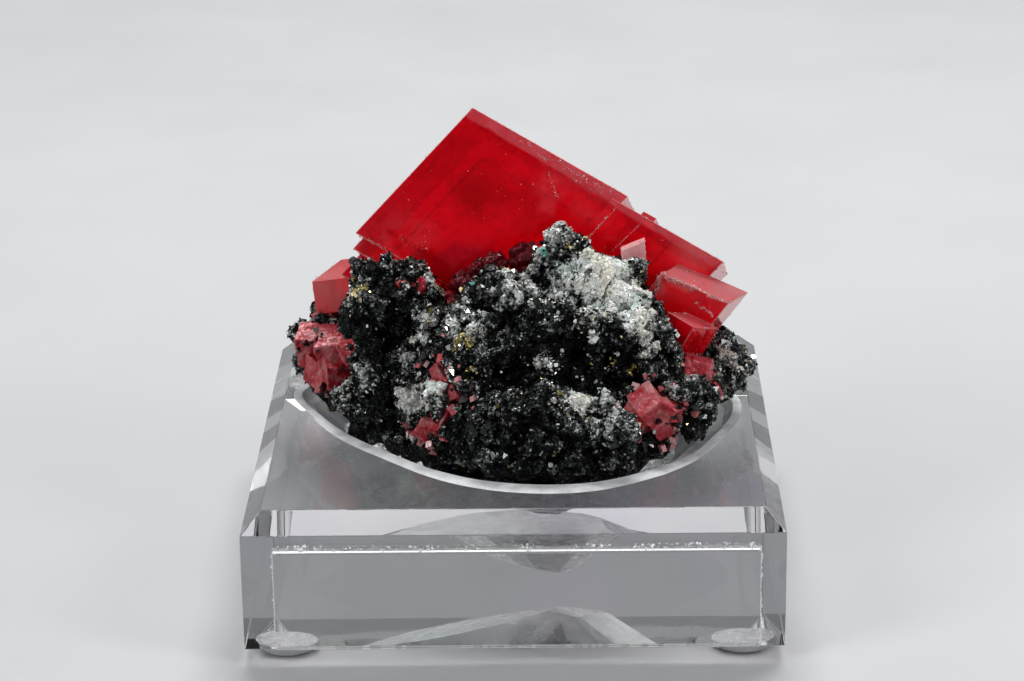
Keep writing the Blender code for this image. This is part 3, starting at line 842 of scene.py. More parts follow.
def bruise(piece, width, thinnest=0.0):
    """Cuts a narrow bevel along the edges, leaving steps thinner than thinnest sharp.

    Gives 1 for each bevel face and 0 for the rest: the mark that paints the edges pale, as wear and as
    painted edge highlights.
    """

    def worn_edge(edge):
        if edge.calc_face_angle(0) < BRUISED_ANGLE or edge.calc_length() < width:
            return False
        return min(step_width(face) for face in edge.link_faces) > thinnest

    piece.data.materials.append(None)
    with editing(piece, "EDGE"):
        pick(piece, worn_edge, "edges")
        bpy.ops.mesh.bevel(offset=width, segments=1, affect="EDGES", clamp_overlap=False, material=1)
    faces = piece.data.polygons
    worn_and_edge_light = [1.0 if face.material_index == 1 else 0.0 for face in faces]
    for face in faces:
        face.material_index = 0
    piece.data.materials.pop(index=1)
    return worn_and_edge_light


def make_main_crystal():
    """The red crystal, its back matte and its right corner's tops hazy."""
    crystal = copy_of("main_crystal", "red_crystal", FLAT_CRYSTAL)
    crystal.data.materials.append(red_crystal())
    # The bevel mark paints the edges pale: wear, and painted edge highlights
    worn_and_edge_light = [0.8 * mark for mark in bruise(crystal, BRUISE_WIDTH, THIN_STEP)]
    faces = crystal.data.polygons
    for number, face in enumerate(faces):
        if face.center.x < seat(HAZY_LEFT, 0, 0).x:
            worn_and_edge_light[number] = max(worn_and_edge_light[number], 0.32)
        elif face.normal.z > 0.55 and face.center.z < seat(0, 0, TOPS_BELOW).z:
            worn_and_edge_light[number] = max(worn_and_edge_light[number], 0.62)
    set_values(crystal, "worn_and_edge_light", worn_and_edge_light, "FACE")
    set_values(crystal, "matte", [1.0 if face.normal.y > 0.3 else 0.0 for face in faces], "FACE")
    return keep(crystal, "rhodochrosite", "main_crystal")


def stands_out(piece, reach, iterations):
    """How far each point stands out from its surroundings: 1 on ridges, -1 in crevices."""
    calm = add_piece("calm", piece.data.copy())
    apply_modifier(calm, "SMOOTH", iterations=iterations, factor=0.5)
    normals = np.empty(len(calm.data.vertices) * 3)
    calm.data.vertices.foreach_get("normal", normals)
    away = (places_of(piece.data) - places_of(calm.data)) * normals.reshape(-1, 3)
    bpy.data.objects.remove(calm, do_unlink=True)
    return np.clip(away.sum(axis=1) / reach, -1, 1)


def set_values(piece, name, values, domain="POINT"):
    """Stores one number for each point or face."""
    layer = piece.data.attributes.new(name, "FLOAT", domain)
    layer.data.foreach_set("value", np.asarray(values, dtype=np.float32))


CLUSTER_VOXEL = 0.22 * MM


def make_small_crystals():
    """The clusters, with faces etched uneven and edges nicked; the pale piece stays crisp."""
    pale = copy_of("upper_pink_crystal", "bruised_upper_pink_crystal", FLAT_CRYSTAL)
    pale.data.materials.append(pale_pink_crystal())
    # The bevel mark paints the edges pale: wear, and painted edge highlights
    set_values(pale, "worn_and_edge_light", [0.6 * mark for mark in bruise(pale, PALE_BRUISE_WIDTH)], "FACE")
    keep(pale, "pink_rhodochrosite", "upper_pink_crystal")

    milky = pink_crystal()
    etching = (
        (texture("VORONOI", 2.2, distance_metric="CHEBYCHEV"), 0.42, 0.6),
        (texture("CLOUDS", 0.8, noise_depth=2), 0.28, 0.55),
    )
    for node in CRYSTAL_NODES[2:]:
        crystal = copy_of(node, "etched_" + node)
        apply_modifier(crystal, "REMESH", mode="VOXEL", voxel_size=CLUSTER_VOXEL)
        for made, strength, level in etching:
            apply_modifier(crystal, "DISPLACE", texture=made, strength=strength * MM, mid_level=level)
        crystal.data.materials.clear()
        crystal.data.materials.append(milky)
        # Ridges painted pale: wear, and painted edge highlights
        set_values(crystal, "worn_and_edge_light", np.clip(stands_out(crystal, 0.5 * MM, 16), 0, 1) * 0.8)
        keep(crystal, "pink_rhodochrosite", node)


# Stout red crystals on the stone's crest and in its valley: centre in mm from the seat, radii in mm,
# turn in degrees, and whether it is a clear one
DARK_RED_CRYSTALS = (
    ((1.6, 0.6, 25.6), (2.4, 1.9, 2.3), 20, False),
    ((-2.6, 0.8, 24.8), (2.0, 1.6, 1.6), 70, False),
    ((-5.4, 0.6, 23.6), (1.5, 1.4, 1.4), 130, False),
    ((-7.6, 0.6, 21.8), (1.9, 1.7, 1.9), 200, False),
    ((-10.0, -1.8, 19.0), (1.7, 1.4, 1.9), 300, True),
    ((-10.8, -5.4, 18.6), (1.2, 1.2, 1.2), 10, True),
    ((-13.8, -3.8, 22.4), (1.4, 1.2, 1.3), 110, True),
    ((-16.6, -4.9, 23.2), (1.0, 0.9, 0.9), 50, True),
    ((-21.2, -2.0, 22.0), (1.3, 1.1, 1.3), 90, True),
)


def make_dark_red_crystals():
    """Stout crystals with blunt facets, sunk into the stone's crest."""
    dark = dark_red_glass("dark_red_glass", (0.045, 0.003, 0.007), (0.22, 0.010, 0.018), 0.35)
    clear = dark_red_glass("clear_red_glass", (0.42, 0.006, 0.016), (0.74, 0.05, 0.08), 0.6)
    dents = texture("CLOUDS", 1.3)
    for number, (centre, radii, turn, is_clear) in enumerate(DARK_RED_CRYSTALS, 1):
        bpy.ops.object.select_all(action="DESELECT")
        bpy.ops.mesh.primitive_ico_sphere_add(subdivisions=3, rotation=(0, 0, math.radians(turn)))
        lump = bpy.context.object
        lump.name = "dark_red_crystal_%d" % number
        settle(lump)
        lump.scale = Vector(radii) * MM
        lump.location = seat(*centre)
        settle(lump)
        apply_modifier(lump, "DISPLACE", texture=dents, strength=2.2 * MM, mid_level=0.5)
        with editing(lump):
            bpy.ops.mesh.select_all(action="SELECT")
            bpy.ops.mesh.dissolve_limited(angle_limit=math.radians(17))
        with editing(lump, "EDGE"):
            bpy.ops.mesh.select_all(action="SELECT")
            bpy.ops.mesh.bevel(offset=0.05 * MM, segments=1, affect="EDGES")
        lump.data.materials.append(clear if is_clear else dark)
        keep(lump, "pink_rhodochrosite")


# ---------------------------------------------------------------- matrix


ROCK_VOXEL = 0.45 * MM


def tree_of(*pieces):
    """The pieces' faces, for distances."""
    places, faces = [], []
    for piece in pieces:
        start = len(places)
        places += [vertex.co.copy() for vertex in piece.data.vertices]
        faces += [[start + corner for corner in face.vertices] for face in piece.data.polygons]
    return BVHTree.FromPolygons(places, faces)


def texture(kind, size_mm, **settings):
    made = bpy.data.textures.new(kind.title(), kind)
    made.noise_scale = size_mm * MM
    for name, value in settings.items():
        setattr(made, name, value)
    return made


def places_of(mesh):
    places = np.empty(len(mesh.vertices) * 3)
    mesh.vertices.foreach_get("co", places)
    return places.reshape(-1, 3)


def make_rock(crystals):
    """The matrix, made fine: remeshed, then broken and set in and out by four sizes of grain.

    It keeps close to the CAD shape in the pocket and where the crystals sit.
    """
    rock = copy_of("matrix", "black_rock")
    apply_modifier(rock, "REMESH", mode="VOXEL", voxel_size=ROCK_VOXEL)
    free = rock.vertex_groups.new(name="free")
    for vertex in rock.data.vertices:
        room = (vertex.co.z - STAND_TOP) / (1.5 * MM)
        gap = crystals.find_nearest(vertex.co)[3] / (1.6 * MM)
        free.add([vertex.index], min(max(min(room, gap), 0.15), 1.0), "ADD")
    layers = (
        (texture("VORONOI", 3.8, distance_metric="CHEBYCHEV"), 2.2, 0.42),
        (texture("VORONOI", 1.7, distance_metric="MANHATTAN"), 1.1, 0.4),
        (texture("CLOUDS", 0.9, noise_depth=3, noise_type="HARD_NOISE"), 0.6, 0.5),
        (texture("VORONOI", 0.7), 0.4, 0.5),
    )
    for made, strength, level in layers:
        apply_modifier(
            rock, "DISPLACE", texture=made, strength=strength * MM, mid_level=level, vertex_group="free"
        )
    rock.vertex_groups.clear()
    places = places_of(rock.data)
    crust_and_shade = np.maximum(near(places, WHITE_PATCHES), near(places, GREY_PATCHES) * 0.4)
    # Painted shade: the shade patches are taken off the crust mark, which darkens the stone there
    set_values(rock, "crust_and_shade", crust_and_shade - near(places, PAINTED_SHADE_PATCHES) * 0.9)
    set_values(rock, "ridge", stands_out(rock, 0.9 * MM, 60))
    rock.data.materials.clear()
    rock.data.materials.append(black_rock())
    return keep(rock, "sulphide", "matrix")


# ---------------------------------------------------------------- grains


FREE_SHARE = 0.8  # of the gap to the neighbours that a grain may fill


class Spots(NamedTuple):
    """Places on a surface, with its normals, its gaps to the neighbours and its ridges there."""

    places: np.ndarray
    normals: np.ndarray
    gaps: np.ndarray
    ridge: np.ndarray

    def lifted(self, sizes, share):
        """The places, moved out by a share of each grain's size."""
        return self.places + self.normals * sizes[:, None] * share


class Surface:
    """A piece's triangles, to grow small crystals on."""

    def __init__(self, piece, neighbours):
        mesh = piece.data
        mesh.calc_loop_triangles()
        count = len(mesh.loop_triangles)
        corners = np.empty(count * 3, np.int32)
        mesh.loop_triangles.foreach_get("vertices", corners)
        self.triangles = places_of(mesh)[corners].reshape(count, 3, 3)
        across = np.cross(
            self.triangles[:, 1] - self.triangles[:, 0], self.triangles[:, 2] - self.triangles[:, 0]
        )
        length = np.linalg.norm(across, axis=1)
        self.areas = length / 2
        self.normals = across / np.maximum(length, 1e-12)[:, None]
        self.centres = self.triangles.mean(axis=1)
        self.ridge = np.zeros(count)
        if "ridge" in mesh.attributes:
            ridge = np.empty(len(mesh.vertices), np.float32)
            mesh.attributes["ridge"].data.foreach_get("value", ridge)
            self.ridge = ridge[corners].reshape(count, 3).mean(axis=1)
        self.gaps = np.array([neighbours.find_nearest(Vector(centre))[3] for centre in self.centres])

    def spots(self, draw, count, weight):
        """Random spots, weighted by area and weight."""
        share = self.areas * weight
        chosen = draw.choice(len(share), count, p=share / share.sum())
        slide = np.sqrt(draw.random((count, 1)))
        turn = draw.random((count, 1))
        a, b, c = (self.triangles[chosen, corner] for corner in range(3))
        places = a * (1 - slide) + b * slide * (1 - turn) + c * slide * turn
        return Spots(places, self.normals[chosen], self.gaps[chosen], self.ridge[chosen])

    def clumps(self, size_mm, low=0.06):
        """A weight for each triangle that gathers what grows into clumps of about this size."""
        scale = 1 / (size_mm * MM)
        values = np.array([noise.noise(Vector(centre) * scale) for centre in self.centres])
        return np.clip(0.45 + 2.2 * values, low, 1.6)


LONG_WAVE, SHORT_WAVE = 0.9 * MM, 0.37 * MM
RAGGED_MM = 0.75


def near(places, patches):
    """How much each place belongs to patches: centre in mm from the seat, radius in mm, strength.

    Waves in the places make the patches' borders ragged.
    """
    share = np.zeros(len(places))
    waves = np.sin(places[:, [1, 2, 0]] / LONG_WAVE) + 0.7 * np.sin(places[:, [2, 0, 1]] / SHORT_WAVE)
    places = places + waves * RAGGED_MM * MM
    for centre, radius, strength in patches:
        away = np.linalg.norm(places - np.array(seat(*centre)), axis=1) / (radius * MM)
        share = np.maximum(share, strength * np.clip(1.25 - away**2, 0, 1))
    return share


def template(shape):
    """A small crystal of about unit radius as (places, faces)."""
    bpy.ops.object.select_all(action="DESELECT")
    if shape == "shard":
        bpy.ops.mesh.primitive_cone_add(vertices=3, radius1=1.15, depth=1.7)
    elif shape in ("cube", "blade"):
        bpy.ops.mesh.primitive_cube_add(size=1.25)
    elif shape == "rhomb":
        stand_up = Vector((1, 1, 1)).rotation_difference(Vector((0, 0, 1)))
        bpy.ops.mesh.primitive_cube_add(size=1.3, rotation=stand_up.to_euler())
        settle(bpy.context.object)
    elif shape == "prism":
        bpy.ops.mesh.primitive_cylinder_add(vertices=6, radius=0.45, depth=2.0)
    elif shape == "lump":
        bpy.ops.mesh.primitive_ico_sphere_add(subdivisions=1, radius=0.9)
    made = bpy.context.object
    with editing(made, "VERT"):
        if shape == "shard":
            pick(made, lambda corner: corner.co.z > 0, "verts")
            bpy.ops.transform.translate(value=(0.5, 0.2, 0))
        elif shape == "cube":
            pick(made, lambda corner: corner.co.x * corner.co.y * corner.co.z > 0, "verts")
            bpy.ops.mesh.bevel(offset=0.45, segments=1, affect="VERTICES")
        elif shape == "blade":
            pick(made, lambda corner: corner.co.x > 0 and corner.co.z > 0, "verts")
            bpy.ops.transform.translate(value=(-0.45, 0, 0.25))
            bpy.ops.mesh.select_all(action="SELECT")
            bpy.ops.transform.resize(value=(1.2, 0.24, 0.9))
        elif shape == "rhomb":
            bpy.ops.mesh.select_all(action="SELECT")
            bpy.ops.transform.resize(value=(1.08, 1.08, 0.8))
        elif shape == "prism":
            pick(made, lambda corner: corner.co.z > 0, "verts")
            bpy.ops.mesh.merge(type="CENTER")
            bpy.ops.transform.translate(value=(0, 0, 0.2))
    places = np.array([vertex.co for vertex in made.data.vertices])
    faces = [list(face.vertices) for face in made.data.polygons]
    bpy.data.objects.remove(made, do_unlink=True)
    return places, faces


def log_sizes(draw, count, middle, spread, largest=math.inf, smallest=0.0):
    """Sizes whose logarithm in mm is normally spread, kept from the smallest to the largest."""
    return np.clip(draw.lognormal(middle, spread, count), smallest, largest) * MM


def turns(draw, count):
    """Random turns, as matrices."""
    quaternions = draw.normal(size=(count, 4))
    quaternions /= np.linalg.norm(quaternions, axis=1)[:, None]
    w, x, y, z = quaternions.T
    return np.stack(
        [
            np.stack([1 - 2 * (y * y + z * z), 2 * (x * y - w * z), 2 * (x * z + w * y)], 1),
            np.stack([2 * (x * y + w * z), 1 - 2 * (x * x + z * z), 2 * (y * z - w * x)], 1),
            np.stack([2 * (x * z - w * y), 2 * (y * z + w * x), 1 - 2 * (x * x + y * y)], 1),
        ],
        1,
    )


def standing(draw, normals, spread):
    """Turns that stand a prism on the surface, leaning by up to spread."""
    up = normals + draw.normal(size=normals.shape) * spread
    up /= np.linalg.norm(up, axis=1)[:, None]
    side = np.cross(up, draw.normal(size=normals.shape))
    side /= np.linalg.norm(side, axis=1)[:, None]
    return np.stack([side, np.cross(up, side), up], axis=2)


def crystal_cloud(name, draw, places, sizes, rotations, shapes, shades, finish, slot, evenness=0.6):
    """One mesh with a small crystal at each place, of one of the shapes, stretched a little."""
    made = [template(shape) for shape in shapes]
    kinds = draw.integers(len(made), size=len(places))
    all_places, all_faces, all_shades = [], [], []
    start = 0
    for place, size, rotation, kind, shade in zip(places, sizes, rotations, kinds, shades):
        points, faces = made[kind]
        stretch = draw.uniform(evenness, 2 - evenness, 3)
        all_places.append((points * stretch * size) @ rotation.T + place)
        all_faces += [[start + corner for corner in face] for face in faces]
        all_shades.append(np.full(len(points), shade))
        start += len(points)
    mesh = bpy.data.meshes.new(name)
    mesh.from_pydata(np.concatenate(all_places).tolist(), [], all_faces)
    layer = mesh.attributes.new("shade", "FLOAT", "POINT")
    layer.data.foreach_set("value", np.concatenate(all_shades).astype(np.float32))
    cloud = add_piece(name, mesh)
    mesh.materials.append(finish)
    return keep(cloud, slot)


CHIPPED_ANGLE = math.radians(25)
CHIP_CLUMPS = 2.4 * MM
CHIP_SCATTER_MM = 0.05
CLEAR_OF_ROCK = 0.4 * MM


def sharp_edge_places(node, draw, count, rock):
    """Places scattered along a crystal's outward edges, gathered in clumps."""
    body = bmesh.new()
    body.from_mesh(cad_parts[node].data)
    bmesh.ops.remove_doubles(body, verts=body.verts, dist=MERGE_WITHIN)
    flat = math.radians(FLAT_CRYSTAL)
    bmesh.ops.dissolve_limit(body, angle_limit=flat, verts=body.verts, edges=body.edges)
    body.normal_update()
    ends = [
        (edge.verts[0].co.copy(), edge.verts[1].co.copy())
        for edge in body.edges
        if len(edge.link_faces) == 2
        and edge.calc_face_angle_signed(0) > CHIPPED_ANGLE
        and min(step_width(face) for face in edge.link_faces) > THIN_STEP
    ]
    body.free()
    lengths = np.array([(b - a).length for a, b in ends])
    places = []
    while len(places) < count:
        a, b = ends[draw.choice(len(ends), p=lengths / lengths.sum())]
        place = a.lerp(b, draw.random())
        if noise.noise(place / CHIP_CLUMPS) + 0.5 < draw.random() * 1.1:
            continue
        if rock.find_nearest(place)[3] > CLEAR_OF_ROCK:
            places.append(place + Vector(draw.normal(size=3)) * CHIP_SCATTER_MM * MM)
    return np.array(places)


# Patches on the stone: centre in mm from the seat, radius in mm, strength
WHITE_PATCHES = (
    ((12.6, -7.4, 26.0), 3.6, 1.0),
    ((14.6, -6.6, 24.2), 4.4, 1.0),
    ((13.7, -8.6, 22.4), 4.0, 0.8),
    ((17.6, -11.4, 21.6), 4.0, 0.8),
    ((9.3, -6.0, 24.6), 3.6, 0.8),
    ((6.0, -7.6, 23.2), 2.6, 0.5),
    ((11.0, -13.0, 20.6), 3.2, 0.3),
    ((20.4, -13.6, 17.0), 3.0, 0.3),
    ((-11.2, -14.8, 11.4), 2.8, 1.0),
    ((-11.6, -15.4, 9.4), 2.4, 0.9),
    ((-14.6, -9.8, 7.0), 3.0, 0.8),
    ((-14.4, -9.2, 3.6), 3.0, 0.5),
    ((-13.3, -7.2, 18.4), 1.8, 0.5),
    ((-13.9, -7.4, 15.0), 1.7, 0.5),
    ((7.2, -21.6, 10.8), 1.5, 0.6),
    ((9.8, -23.0, 10.0), 2.2, 0.6),
    ((15.6, -21.0, 7.4), 2.4, 0.3),
    ((31.5, -1.5, 9.0), 3.6, 0.3),
    ((-33.0, 7.6, 12.0), 2.4, 0.6),
    ((-26.0, -2.0, 5.0), 3.0, 0.25),
    ((-22.3, -6.8, 10.0), 1.8, 0.4),
    ((-12.4, -2.6, 23.0), 1.5, 1.0),
    ((-24.3, -3.7, 19.8), 1.6, 0.5),
    ((-4.7, -19.1, 9.2), 1.0, 0.9),
    ((-16.0, -8.0, 12.0), 2.6, 0.3),
    ((5.9, -17.4, 15.0), 2.0, 0.25),
)
GREY_PATCHES = (
    ((2.0, -8.0, 24.0), 6.0, 0.8),
    ((5.6, -3.0, 29.0), 4.4, 0.9),
    ((-7.0, -11.4, 19.6), 3.4, 1.0),
    ((-4.8, -12.6, 19.0), 4.6, 0.6),
    ((5.9, -18.2, 14.7), 4.0, 0.8),
    ((12.0, -21.6, 9.6), 5.0, 0.8),
    ((24.0, -13.0, 10.0), 5.0, 0.6),
    ((-22.0, -5.0, 20.0), 4.0, 0.3),
    ((20.0, -12.0, 17.0), 5.0, 0.6),
)
BRASS_PATCHES = (
    ((-1.2, -5.0, 25.4), 1.3, 1.0),
    ((-2.6, -3.2, 26.0), 1.0, 1.0),
    ((-12.2, -3.0, 22.6), 1.1, 1.0),
    ((-22.0, -5.4, 22.4), 1.6, 0.8),
    ((9.9, -3.9, 29.2), 1.2, 0.8),
    ((17.6, -13.9, 13.6), 1.2, 0.8),
    ((14.3, -13.4, 13.9), 1.0, 0.5),
    ((1.2, -23.0, 7.9), 0.6, 0.8),
    ((-26.0, 2.0, 16.0), 1.4, 0.4),
    ((-5.8, -14.7, 12.2), 1.8, 0.5),
    ((-7.5, -14.8, 17.4), 1.7, 0.6),
    ((5.4, -26.5, 4.6), 0.7, 0.8),
    ((27.2, -11.5, 9.0), 1.4, 0.9),
    ((15.6, -20.6, 9.6), 0.9, 0.5),
    ((18.0, 20.0, 15.0), 2.0, 0.5),
    ((-8.0, 26.0, 16.0), 2.0, 0.5),
)
# Painted shade: where the stone's hollows lie in shade, it is painted near black, with fewer and darker
# grains
PAINTED_SHADE_PATCHES = (
    ((9.0, -16.8, 16.2), 4.8, 1.0),
    ((14.5, -16.5, 13.5), 4.0, 0.9),
    ((2.0, -16.0, 16.0), 3.6, 0.6),
    ((-1.5, -17.0, 9.0), 4.0, 0.7),
    ((-17.5, -5.0, 17.5), 4.0, 0.9),
    ((-23.0, -3.5, 15.5), 4.6, 1.0),
    ((2.0, -23.0, 5.0), 5.0, 0.6),
    ((-9.5, -9.0, 13.0), 3.2, 0.8),
    ((19.0, -19.0, 5.0), 4.0, 0.6),
    ((-19.0, -9.0, 4.0), 4.0, 0.6),
)
TURQUOISE_PATCHES = (
    ((5.0, -5.1, 27.9), 0.8, 1.0),
    ((0.2, -5.3, 24.4), 0.7, 1.0),
    ((-5.2, -5.0, 23.6), 0.8, 1.0),
)
LOWEST_GRAIN = STAND_TOP + 0.7 * MM

# Name, count, middle and spread of the sizes' logarithm, largest and clumps' size in mm, shapes
METAL_GRAINS = (
    ("fine_sulphide_grains", 15800, -1.95, 0.42, 0.45, 1.2, ("shard", "cube", "blade", "shard")),
    ("coarse_sulphide_crystals", 2400, -1.05, 0.32, 0.8, 3.0, ("cube", "rhomb", "blade", "shard")),
)
QUARTZ_COUNT, BRASS_COUNT, TURQUOISE_COUNT = 10500, 420, 70
STRAY_QUARTZ, STRAY_BRASS = 0.02, 0.0035


def grow_grains(surface, metal):
    """Metallic grains all over, quartz druse on the white patches, brass and turquoise specks."""
    draw = np.random.default_rng(41)
    open_air = (surface.centres[:, 2] > LOWEST_GRAIN) & (surface.gaps > 0.5 * MM)
    white = near(surface.centres, WHITE_PATCHES)
    # Painted shade: fewer grains grow in the shade patches, so the hollows stay black
    dark = np.clip(near(surface.centres, PAINTED_SHADE_PATCHES), 0, 1)
    bare = open_air * (1 - 0.85 * np.clip(white, 0, 1)) * (1 - 0.85 * dark)
    # Painted light and shade: more shiny grains on ridges and fewer in crevices, so the crevices stay
    # dark
    standing_out = np.clip(0.5 + 1.1 * surface.ridge, 0.08, 1.6)
    skyward = np.clip(surface.normals[:, 2], 0, 1)
    for name, count, middle, spread, largest, clump, shapes in METAL_GRAINS:
        weight = bare * standing_out * surface.clumps(clump) * (1 + 0.6 * skyward)
        spots = surface.spots(draw, count, weight)
        sizes = np.minimum(log_sizes(draw, count, middle, spread, largest), spots.gaps * FREE_SHARE)
        # Painted light: grains facing up are lighter, as if lit from above
        bright = np.clip(spots.normals[:, 2], 0, 1) * 0.25 + near(spots.places, GREY_PATCHES) * 0.6
        # Painted light: grains on ridges are lighter
        bright = bright + np.clip(spots.ridge, 0, 1) * 0.3
        # Painted shade: grains in the shade patches are darker
        bright = bright * (1 - 0.8 * np.clip(near(spots.places, PAINTED_SHADE_PATCHES), 0, 1))
        shades = np.clip(draw.beta(1.0, 3.6, count) + bright * draw.random(count), 0, 1)
        crystal_cloud(
            name, draw, spots.lifted(sizes, 0.25), sizes, turns(draw, count), shapes, shades, metal,
            "sulphide", 0.45,
        )
    grow_quartz(surface, draw, open_air, white, skyward, standing_out)

    brass = near(surface.centres, BRASS_PATCHES)
    spots = surface.spots(draw, BRASS_COUNT, open_air * standing_out * (brass + STRAY_BRASS))
    sizes = np.minimum(log_sizes(draw, BRASS_COUNT, -1.5, 0.35), spots.gaps * FREE_SHARE)
    crystal_cloud(
        "brass_grains", draw, spots.lifted(sizes, 0.7), sizes, turns(draw, BRASS_COUNT),
        ("cube", "shard"), draw.random(BRASS_COUNT), brass_sulphide(), "sulphide",
    )

    turquoise = near(surface.centres, TURQUOISE_PATCHES)
    spots = surface.spots(draw, TURQUOISE_COUNT, open_air * turquoise)
    sizes = log_sizes(draw, TURQUOISE_COUNT, -1.9, 0.35)
    crystal_cloud(
        "turquoise_specks", draw, spots.lifted(sizes, 0.8), sizes, turns(draw, TURQUOISE_COUNT),
        ("lump", "shard"), draw.random(TURQUOISE_COUNT), turquoise_crust(), "sulphide",
    )


def grow_quartz(surface, draw, open_air, white, skyward, standing_out):
    """A druse of small quartz crystals on the white patches, and strays on what faces up."""
    count = QUARTZ_COUNT
    druse = quartz_druse()
    strays = STRAY_QUARTZ * skyward * surface.clumps(2.0, 0.0)
    weight = open_air * (white**1.3 * surface.clumps(1.4, 0.25) + strays)
    weight = weight * (0.3 + standing_out)
    spots = surface.spots(draw, count, weight)
    sizes = np.minimum(log_sizes(draw, count, -1.85, 0.45, 0.55), spots.gaps * FREE_SHARE)
    shades = np.clip(near(spots.places, WHITE_PATCHES) * 0.8 + draw.normal(0.2, 0.24, count), 0, 1)
    crystal_cloud(
        "quartz_druse", draw, spots.lifted(sizes, 0.4), sizes, standing(draw, spots.normals, 0.6),
        ("prism", "cube", "rhomb", "prism"), shades, druse, "sulphide", 0.5,
    )


# Lines of splinters on the main crystal: start and end in mm from the seat, spread and swing in mm,
# count
VEILS = (
    ((0.8, 5.0, 42.4), (13.6, 4.4, 35.2), 0.16, 1.2, 230),
    ((9.0, 4.6, 36.6), (15.0, 4.2, 34.4), 0.4, 1.2, 150),
    ((5.4, 4.6, 37.6), (6.8, 4.2, 33.6), 0.3, 1.2, 60),
    ((16.4, 4.0, 33.2), (11.0, 2.8, 27.4), 0.03, 0.15, 260),
    ((20.1, 4.0, 30.7), (14.8, 2.4, 25.6), 0.03, 0.15, 150),
    ((-22.6, 5.4, 27.4), (-18.6, 5.0, 25.0), 0.08, 0.6, 120),
    ((-17.6, 5.0, 27.8), (-12.6, 4.6, 25.2), 0.5, 1.2, 60),
)
BROKEN_EDGES = (
    ((22.0, -4.8, 24.5), (27.4, -5.8, 22.5), 0.22, 0.5, 380),
    ((27.0, -5.8, 22.6), (31.9, -7.0, 20.5), 0.05, 0.15, 200),
    ((21.1, -3.8, 20.9), (22.2, -4.9, 24.3), 0.35, 0.4, 300),
    ((27.2, -5.5, 20.2), (30.0, -5.9, 18.3), 0.1, 0.9, 90),
)

# Crystals and the counts of what is strewn on them or round them. Chips: middle of the sizes'
# logarithm. Rhombs: reach in mm.
EDGE_CHIPS = (("main_crystal", 1500, -3.0), ("upper_pink_crystal", 90, -2.7))
SPECKS = (("lower_left_crystals", 360), ("front_right_crystals", 90), ("front_left_crystals", 130))
DUST_COUNT = 420
RHOMBS = (
    ("lower_left_crystals", 90, 2.6),
    ("right_pink_crystals", 46, 1.8),
    ("front_right_crystals", 110, 2.4),
    ("front_left_crystals", 90, 2.8),
)


def splinter_line(name, draw, number, row, crystals, middle, largest, shades, chips):
    """Splinters strewn along a wavy line on a crystal's surface."""
    start, end, spread, swing, count = row
    along = draw.random((count, 1))
    line = np.array(seat(*start)) * (1 - along) + np.array(seat(*end)) * along
    waves = np.array([noise.noise(Vector((share * 5, number, 0))) for share in along[:, 0]])
    line[:, 2] += (waves * swing + draw.normal(size=count) * spread) * MM
    places = np.array([crystals.find_nearest(Vector(place))[0] for place in line])
    sizes = log_sizes(draw, count, middle, 0.5, largest)
    crystal_cloud(
        name, draw, places, sizes, turns(draw, count), ("shard", "blade"), draw.uniform(*shades, count),
        chips, "pink_rhodochrosite", 0.4,
    )


def strew_specks(draw, rock, metal):
    """Dark grains on the pink clusters, most of them close to the rock."""
    for node, count in SPECKS:
        cluster = Surface(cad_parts[node], rock)
        patchy = np.exp(-cluster.gaps / (0.5 * MM)) + 0.16 * (cluster.clumps(1.6, 0.0) > 1.2)
        spots = cluster.spots(draw, count, patchy * (cluster.centres[:, 2] > LOWEST_GRAIN))
        sizes = log_sizes(draw, count, -1.3, 0.5, 0.8)
        crystal_cloud(
            "sulphide_specks_" + node, draw, spots.places, sizes, turns(draw, count), ("cube", "shard"),
            np.clip(draw.beta(1.0, 3.0, count), 0, 1), metal, "sulphide",
        )


def strew_rhombs(draw, surface, chips):
    """Small rhombs on the rock round the pink clusters."""
    for node, count, reach in RHOMBS:
        cluster = tree_of(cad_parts[node])
        gaps = np.array([cluster.find_nearest(Vector(centre))[3] for centre in surface.centres])
        away = gaps / (reach * MM)
        weight = (surface.centres[:, 2] > LOWEST_GRAIN) * np.exp(-2.2 * away**2) * (away < 1.6)
        spots = surface.spots(draw, count, weight)
        sizes = log_sizes(draw, count, -0.95, 0.45, 1.0, 0.2)
        crystal_cloud(
            "small_rhombs_" + node, draw, spots.lifted(sizes, 0.35), sizes,
            standing(draw, spots.normals, 0.7), ("rhomb", "rhomb", "shard"),
            np.clip(draw.normal(0.3, 0.24, count), 0, 1), chips, "pink_rhodochrosite", 0.75,
        )


